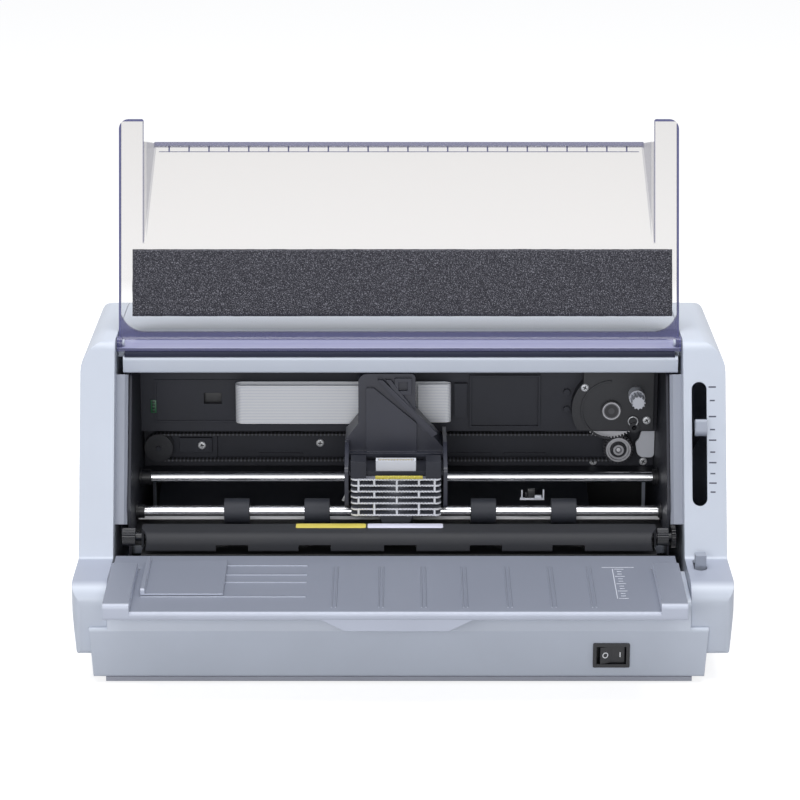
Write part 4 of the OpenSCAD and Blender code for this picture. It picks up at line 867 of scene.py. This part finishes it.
# %% Cross-recess screws
SCREWS = [(143.06, 48.6, 177.0), (192.3, 48.6, 150.3), (153.1, 84.0, 105.5), (193.3, 84.0, 105.5),
          (-66.3, 84.0, 120.9), (-160.8, 77.5, 120.9)]
DOME = [(0.35, 0.6), (0.1, 2.0), (0.3, 2.8), (0.8, 3.2), (1.45, 3.25)]
CROSS_BAR, CROSS_IN, CROSS_TURN = (3.4, 0.6, 0.7), 0.3, 0.4
FRONT_TO_BACK = (0, 1, 0)
# Painted shade: the dark bars stand for the shade inside the cross recess.
cross_recess_shade = finish("cross_recess_shade", (38, 38, 42), 0.6)
screw_zinc = finish("screw_zinc", (206, 208, 212), 0.38, grain=0.05, metal=0.35, edge_mm=0.2)
bm = bmesh.new()
for x, y, z in SCREWS:
    turned(bm, (x, y, z), FRONT_TO_BACK, DOME)
    for angle in (CROSS_TURN + x, CROSS_TURN + x + math.pi / 2):
        bar(bm, (x, y + CROSS_IN, z), CROSS_BAR, Matrix.Rotation(angle, 3, "Y"), 1)
screw_heads = piece("screw_heads", bm, "chassis", [screw_zinc, cross_recess_shade])
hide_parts("frame_screws")

# %% [markdown]
# The white plug on the print head holds two rows of pins, and below it lies a strip of amber film with
# small ridges. Only the tips of the pins show, so they are plain square bars. The ridges are flat bars,
# because a printed pattern would have no edges to catch the light.

# %% Pins and amber strip on the head
PIN_COLUMNS, FIRST_PIN, PIN_STEP = 12, -17.4, 2.2
PIN_ROWS, PIN_Z, PIN_SIZE = (-29.6, -27.0), 139.0, (0.7, 0.7, 5.6)
brass_pin = finish("brass_pin", (196, 178, 120), 0.3, metal=1.0)
bm = bmesh.new()
for k in range(PIN_COLUMNS):
    for y in PIN_ROWS:
        bar(bm, (FIRST_PIN + PIN_STEP * k, y, PIN_Z), PIN_SIZE)
piece("plug_pins", bm, "carriage", [brass_pin], bevel_mm=0.1)

AMBER_Z, AMBER_FRONT, AMBER_SIZE = 132.3, -42.9, (36.0, 0.5, 2.6)
RIDGES, RIDGE_STEP, RIDGE_OUT, RIDGE_SIZE = 9, 4.0, 0.35, (1.4, 0.25, 2.2)
amber_film = finish("amber_film", (206, 192, 78), 0.35, grain=0.05, cloud=0.04)
bm = bmesh.new()
bar(bm, (MIDDLE_X, AMBER_FRONT, AMBER_Z), AMBER_SIZE)
for aside in spread(RIDGES, RIDGE_STEP):
    bar(bm, (MIDDLE_X + aside, AMBER_FRONT - RIDGE_OUT, AMBER_Z), RIDGE_SIZE)
piece("amber_strip", bm, "carriage", [amber_film], bevel_mm=0.1)

# %% [markdown]
# A small coil spring beside the head pulls the ribbon guide back. A wire is a tube swept along a path:
# rings of points stand across it. The side that a ring starts from is carried on from the ring before, or
# the tube would twist where the path turns.

# %% Wire, and the spring beside the head
def wire(bm, path, radius, steps=8):
    """A round wire of one radius in mm that follows a path in mm."""
    rings = []
    side = None
    for k, point in enumerate(path):
        run = (path[min(k + 1, len(path) - 1)] - path[max(k - 1, 0)]).normalized()
        side = run.orthogonal() if side is None else side - run * side.dot(run)
        side.normalize()
        rings.append(ring_of_points(bm, point, side, run.cross(side), radius, steps))
    skin_rings(bm, rings)


SPRING_FROM, SPRING_TO = Vector((-45.6, -30.0, 109.4)), Vector((-41.9, -30.0, 117.4))
SPRING_LONG, SPRING_RADIUS, SPRING_WIRE = 8.8, 1.1, 0.28
SPRING_TURNS, STEPS_A_TURN = 8, 12
spring_run = (SPRING_TO - SPRING_FROM).normalized()
spring_side = spring_run.orthogonal().normalized()
spring_other = spring_run.cross(spring_side)
coil = []
for k in range(SPRING_TURNS * STEPS_A_TURN + 1):
    a = 2 * math.pi * k / STEPS_A_TURN
    along = spring_run * (SPRING_LONG * k / (SPRING_TURNS * STEPS_A_TURN))
    around = (spring_side * math.cos(a) + spring_other * math.sin(a)) * SPRING_RADIUS
    coil.append(SPRING_FROM + along + around)
bm = bmesh.new()
wire(bm, coil, SPRING_WIRE)
piece("guide_spring", bm, "carriage", [screw_zinc])

# %% [markdown]
# A clip beside the ribbon drive keeps its parts from sliding off. It is the same wire, bent round most of a
# circle.

# %% Retaining clip
CLIP_X, CLIP_Y, CLIP_Z, CLIP_RADIUS, CLIP_WIRE = 181.4, 47.9, 149.9, 3.7, 0.45
CLIP_FROM, CLIP_TO, CLIP_TURN = -50, 230, 10
clip_path = [Vector((CLIP_X + CLIP_RADIUS * math.cos(a), CLIP_Y, CLIP_Z + CLIP_RADIUS * math.sin(a)))
             for a in map(math.radians, range(CLIP_FROM, CLIP_TO + 1, CLIP_TURN))]
bm = bmesh.new()
wire(bm, clip_path, CLIP_WIRE)
piece("retaining_clip", bm, "chassis", [screw_zinc])

# %% [markdown]
# Between two feed rollers a small light gate tells when paper arrives: a white bracket with a foot and two
# cheeks, and a dark eye between them. It is six bars, each given by its centre and its size.

# %% Paper sensor
WHITE_BARS = [((101.0, 14.0, 96.9), (19.0, 3.0, 1.3)), ((93.0, 14.0, 100.6), (1.1, 3.0, 6.6)),
              ((109.8, 13.6, 100.8), (1.2, 2.6, 7.4)), ((105.6, 13.0, 98.4), (5.2, 3.6, 3.0))]
DARK_BARS = [((100.3, 15.4, 101.0), (5.6, 3.0, 7.0)), ((96.4, 14.6, 99.6), (1.4, 2.0, 4.4))]
bm = bmesh.new()
for tone, bars in enumerate((WHITE_BARS, DARK_BARS)):
    for centre, size in bars:
        bar(bm, centre, size, finish_no=tone)
piece("paper_sensor", bm, "chassis", [white_plastic, dark_plastic], bevel_mm=0.2)

# %% [markdown]
# At the far left end of the carriage's way stands a small green board with four dark chips, the end sensor.
# Beside it the wall has a cut-out. A dark plate with two rivets covers it, so that no daylight comes
# through from the back. Both are bars, and the rivets are turned.

# %% End board and patch
BOARD_X, BOARD_Y, BOARD_Z, BOARD_SIZE = -197.2, 61.1, 158.5, (4.6, 1.2, 10.4)
CHIPS, CHIP_STEP, CHIP_OUT, CHIP_SIZE = 4, 2.4, 0.8, (1.8, 0.7, 1.2)
bm = bmesh.new()
bar(bm, (BOARD_X, BOARD_Y, BOARD_Z), BOARD_SIZE)
for up in spread(CHIPS, CHIP_STEP):
    bar(bm, (BOARD_X, BOARD_Y - CHIP_OUT, BOARD_Z + up), CHIP_SIZE, finish_no=1)
piece("end_board", bm, "chassis", [board_green, dark_plastic], bevel_mm=0.1)

PATCH_X, PATCH_Y, PATCH_Z, PATCH_SIZE = -150.0, 66.6, 164.5, (27.0, 1.2, 24.0)
RIVET_ASIDE, RIVET_UP = 10.0, 9.5
RIVET = [(0, 1.2), (0.3, 1.6), (1.0, 1.6)]
bm = bmesh.new()
bar(bm, (PATCH_X, PATCH_Y, PATCH_Z), PATCH_SIZE)
for aside in (-RIVET_ASIDE, RIVET_ASIDE):
    turned(bm, (PATCH_X + aside, PATCH_Y - 1.2, PATCH_Z + RIVET_UP), FRONT_TO_BACK, RIVET, 16)
piece("cutout_patch", bm, "chassis", [dark_plastic], bevel_mm=0.3)

# %% [markdown]
# Both shafts end in black bushes that sit in the side plates: a flange against the plate and a sleeve
# around the shaft, with a small chamfer. They are turned too, and the right-hand ones point to the left.

# %% Bushes of the shafts
LEFT_PLATE, RIGHT_PLATE = -207.1, 201.1
MAIN_SHAFT, FEED_SHAFT = (38.0, 107.1), (3.0, 90.5)
FLANGE_WIDER, FLANGE_THICK, CHAMFER = 1.6, 1.2, 0.6
bm = bmesh.new()
for (y, z), radius, reaches in ((MAIN_SHAFT, 6.2, (9.0, 4.4)), (FEED_SHAFT, 5.4, (6.4, 2.6))):
    for x, way, reach in zip((LEFT_PLATE, RIGHT_PLATE), (1, -1), reaches):
        sleeve = [(0, radius + FLANGE_WIDER), (FLANGE_THICK, radius + FLANGE_WIDER),
                  (FLANGE_THICK + 0.3, radius), (reach - CHAMFER, radius), (reach, radius - 0.7)]
        turned(bm, (x, y, z), (way, 0, 0), sleeve, 28)
piece("shaft_bushes", bm, "chassis", [dark_plastic])

# %% [markdown]
# Two thin strips lie on the shoulder of the front guide, one yellow and one pale. On the real machine they
# are stick-on labels with round corners. Here they are blank, so each is an outline raised by a third of a
# millimetre, whose edge catches the light; an image on the guide would have none.

# %% Strips on the front guide
STRIP_FRONT, STRIP_BACK, SHOULDER = -55.4, -45.2, 95.95
STRIP_THICK, STRIP_CORNER, CORNER_STEPS = 0.35, 1.5, 4


def guide_strip(name, left, right, made):
    """A thin strip with rounded corners on the shoulder of the front guide, from left to right in mm."""
    bm = bmesh.new()
    inset = STRIP_CORNER
    rim = []
    low_y, high_y = STRIP_FRONT + inset, STRIP_BACK - inset
    for cx, cy, first in ((right - inset, high_y, 0), (left + inset, high_y, 90),
                          (left + inset, low_y, 180), (right - inset, low_y, 270)):
        for k in range(CORNER_STEPS + 1):
            a = math.radians(first + 90 * k / CORNER_STEPS)
            rim.append((cx + inset * math.cos(a), cy + inset * math.sin(a)))
    skin_rings(bm, [[bm.verts.new(Vector((x, y, z)) * MM) for x, y in rim]
                    for z in (SHOULDER, SHOULDER + STRIP_THICK)])
    return piece(name, bm, "chassis", [made], bevel_mm=0.08)


yellow_strip = finish("yellow_strip", (214, 198, 92), 0.4, grain=0.08)
pale_strip = finish("pale_strip", (214, 214, 232), 0.4, grain=0.08)
guide_strip("yellow_guide_strip", -81.3, -28.1, yellow_strip)
guide_strip("pale_guide_strip", -26.8, 30.5, pale_strip)

# %% [markdown]
# The right-hand side of the tray has a ladder of printed size marks, so that a sheet can be laid at the
# same place again. Here they are strokes a tenth of a millimetre high on the slope of the tray, so they
# stay sharp in a close view.

# %% Size marks on the tray
TRAY_FRONT, TRAY_Z, TRAY_RISE, INK_LIFT, INK_THICK = -185.0, 75.5, 0.0559, 0.06, 0.16
MARK_LONG, MARK_SHORT, MARK_STEP, MARKS, INK_WIDE = 7.0, 3.4, 4.6, 13, 0.7
LADDER_X, LADDER_BACK = 160.5, -104.0
SPINE_X, SPINE_Y, SPINE_WIDE, SPINE_LONG = 155.8, -131.6, 0.6, 56.0
HEAD_X, HEAD_Y, HEAD_LONG = 160.0, -100.6, 24.0
tray_ink = finish("tray_ink", (214, 218, 230), 0.45)
tray_lean = Matrix.Rotation(math.atan(TRAY_RISE), 3, "X")


def tray_stroke(bm, x, y, wide, deep):
    """A printed stroke that lies on the sloping tray."""
    z = TRAY_Z + (y - TRAY_FRONT) * TRAY_RISE + INK_LIFT
    bar(bm, (x, y, z), (wide, deep, INK_THICK), tray_lean)


bm = bmesh.new()
for k in range(MARKS):
    mark_wide = MARK_LONG if k % 3 == 0 else MARK_SHORT
    tray_stroke(bm, LADDER_X, LADDER_BACK - MARK_STEP * k, mark_wide, INK_WIDE)
tray_stroke(bm, SPINE_X, SPINE_Y, SPINE_WIDE, SPINE_LONG)
tray_stroke(bm, HEAD_X, HEAD_Y, HEAD_LONG, INK_WIDE)
piece("tray_marks", bm, "front_tray", [tray_ink])

# %% [markdown]
# Beside the long slot a row of short strokes shows the places of the lever. They lie on the slope of the
# cheek, a hair above it, and the gaps get smaller towards the bottom as on the real scale.

# %% Strokes beside the slot
CHEEK_TOP = Vector((0, -12.5, 231.5))
SLOPE_DOWN = Vector((0, -0.3478, -0.9376))
SLOPE_OUT = Vector((0, -0.9376, 0.3478))
STROKES_DOWN = (35.1, 45.4, 57.6, 67.5, 75.5, 84.6, 92.6, 100.9, 108.1, 114.9)
STROKES_X, STROKE_LONG, STROKE_SHORT = 234.8, 5.6, 3.8
STROKE_THICK, STROKE_HIGH, STROKE_LIFT = 0.1, 1.1, 0.02
print_grey = finish("print_grey", (70, 74, 90), 0.5)
tilt = SLOPE_DOWN.to_track_quat("Z", "X").to_matrix()
bm = bmesh.new()
for k, down in enumerate(STROKES_DOWN):
    spot = CHEEK_TOP + SLOPE_DOWN * down + SLOPE_OUT * STROKE_LIFT
    wide = STROKE_LONG if k % 2 == 0 else STROKE_SHORT
    bar(bm, (STROKES_X, spot.y, spot.z), (STROKE_THICK, wide, STROKE_HIGH), tilt)
piece("slot_strokes", bm, "chassis", [print_grey])

# %% [markdown]
# The mains switch has the usual circle for off and bar for on, moulded in white. The circle is a ring of
# short bars that overlap a little. Both marks lie on the wings of the rocker, which lean by nine degrees at
# rest, so they are built in the rocker's own axes and swung with it.

# %% Marks on the rocker
ROCKER_CENTRE, ROCKER_LEAN = Vector((154.2, -125.0, 22.6)), 9
MARK_ASIDE, MARK_FRONT, CIRCLE_RADIUS, CIRCLE_BARS = 5.6, -6.80, 1.9, 32
WING_SLOPE = 0.317 / CIRCLE_RADIUS
CIRCLE_BAR, ON_BAR = (0.75, 0.24, 0.44), (0.85, 0.24, 3.8)
mark_white = finish("mark_white", (246, 247, 249), 0.45)
swing = Matrix.Rotation(math.radians(ROCKER_LEAN), 3, "Z")
bm = bmesh.new()
for k in range(CIRCLE_BARS):
    a = 2 * math.pi * (k + 0.5) / CIRCLE_BARS
    aside, up = CIRCLE_RADIUS * math.cos(a), CIRCLE_RADIUS * math.sin(a)
    spot = ROCKER_CENTRE + swing @ Vector((aside - MARK_ASIDE, MARK_FRONT + WING_SLOPE * aside, up))
    bar(bm, spot, CIRCLE_BAR, swing @ Matrix.Rotation(-a, 3, "Y"))
bar(bm, ROCKER_CENTRE + swing @ Vector((MARK_ASIDE, MARK_FRONT, 0)), ON_BAR, swing)
piece("rocker_marks", bm, "power_rocker", [mark_white])

# %% [markdown]
# At the back are a socket for the mains with three flat pins, the earth pin a little higher, and two data
# ports: plated shells with a dark insert. The wide one has two rows of gilt contacts and a hexagonal stud
# at each side, which is a turned shape with only six steps. The faces lie just outside the shells.

# %% Mains socket and data ports
INLET_X, INLET_Y, MAINS_PIN = -153.0, 174.0, (1.6, 10.0, 4.2)
EARTH, LEFT_PIN, RIGHT_PIN = (0, 37.6), (-6.4, 32.8), (6.4, 32.8)
bm = bmesh.new()
for aside, z in (EARTH, LEFT_PIN, RIGHT_PIN):
    bar(bm, (INLET_X + aside, INLET_Y, z), MAINS_PIN)
piece("inlet_pins", bm, "chassis", [plated_steel], bevel_mm=0.2)

PORT_X, PORT_Z, CONTACTS, CONTACT_STEP, STUD_ASIDE = 57.0, 31.0, 18, 2.5, 28.4
USB_X, USB_Z = 109.0, 30.5
STUD_Y, FACE_Y, CONTACT_Y = 184.4, 184.6, 184.75
PORT_INSERT, CONTACT, CONTACT_UP = (52.0, 0.5, 8.4), (1.1, 0.4, 1.8), 2.0
USB_INSERT, USB_TONGUE = (8.0, 0.5, 7.6), (4.6, 0.4, 3.0)
STUD = [(0, 1.9), (0.4, 1.9), (0.55, 1.2)]
SHELL, INSERT, GILT = 0, 1, 2
bm = bmesh.new()
bar(bm, (PORT_X, FACE_Y, PORT_Z), PORT_INSERT, finish_no=INSERT)
for aside in spread(CONTACTS, CONTACT_STEP):
    for up in (-CONTACT_UP, CONTACT_UP):
        bar(bm, (PORT_X + aside, CONTACT_Y, PORT_Z + up), CONTACT, finish_no=GILT)
for aside in (-STUD_ASIDE, STUD_ASIDE):
    turned(bm, (PORT_X + aside, STUD_Y, PORT_Z), FRONT_TO_BACK, STUD, 6)
bar(bm, (USB_X, FACE_Y, USB_Z), USB_INSERT, finish_no=INSERT)
bar(bm, (USB_X, CONTACT_Y, USB_Z), USB_TONGUE, finish_no=SHELL)
piece("port_faces", bm, "chassis", [plated_steel, dark_plastic, brass_pin], bevel_mm=0.05)
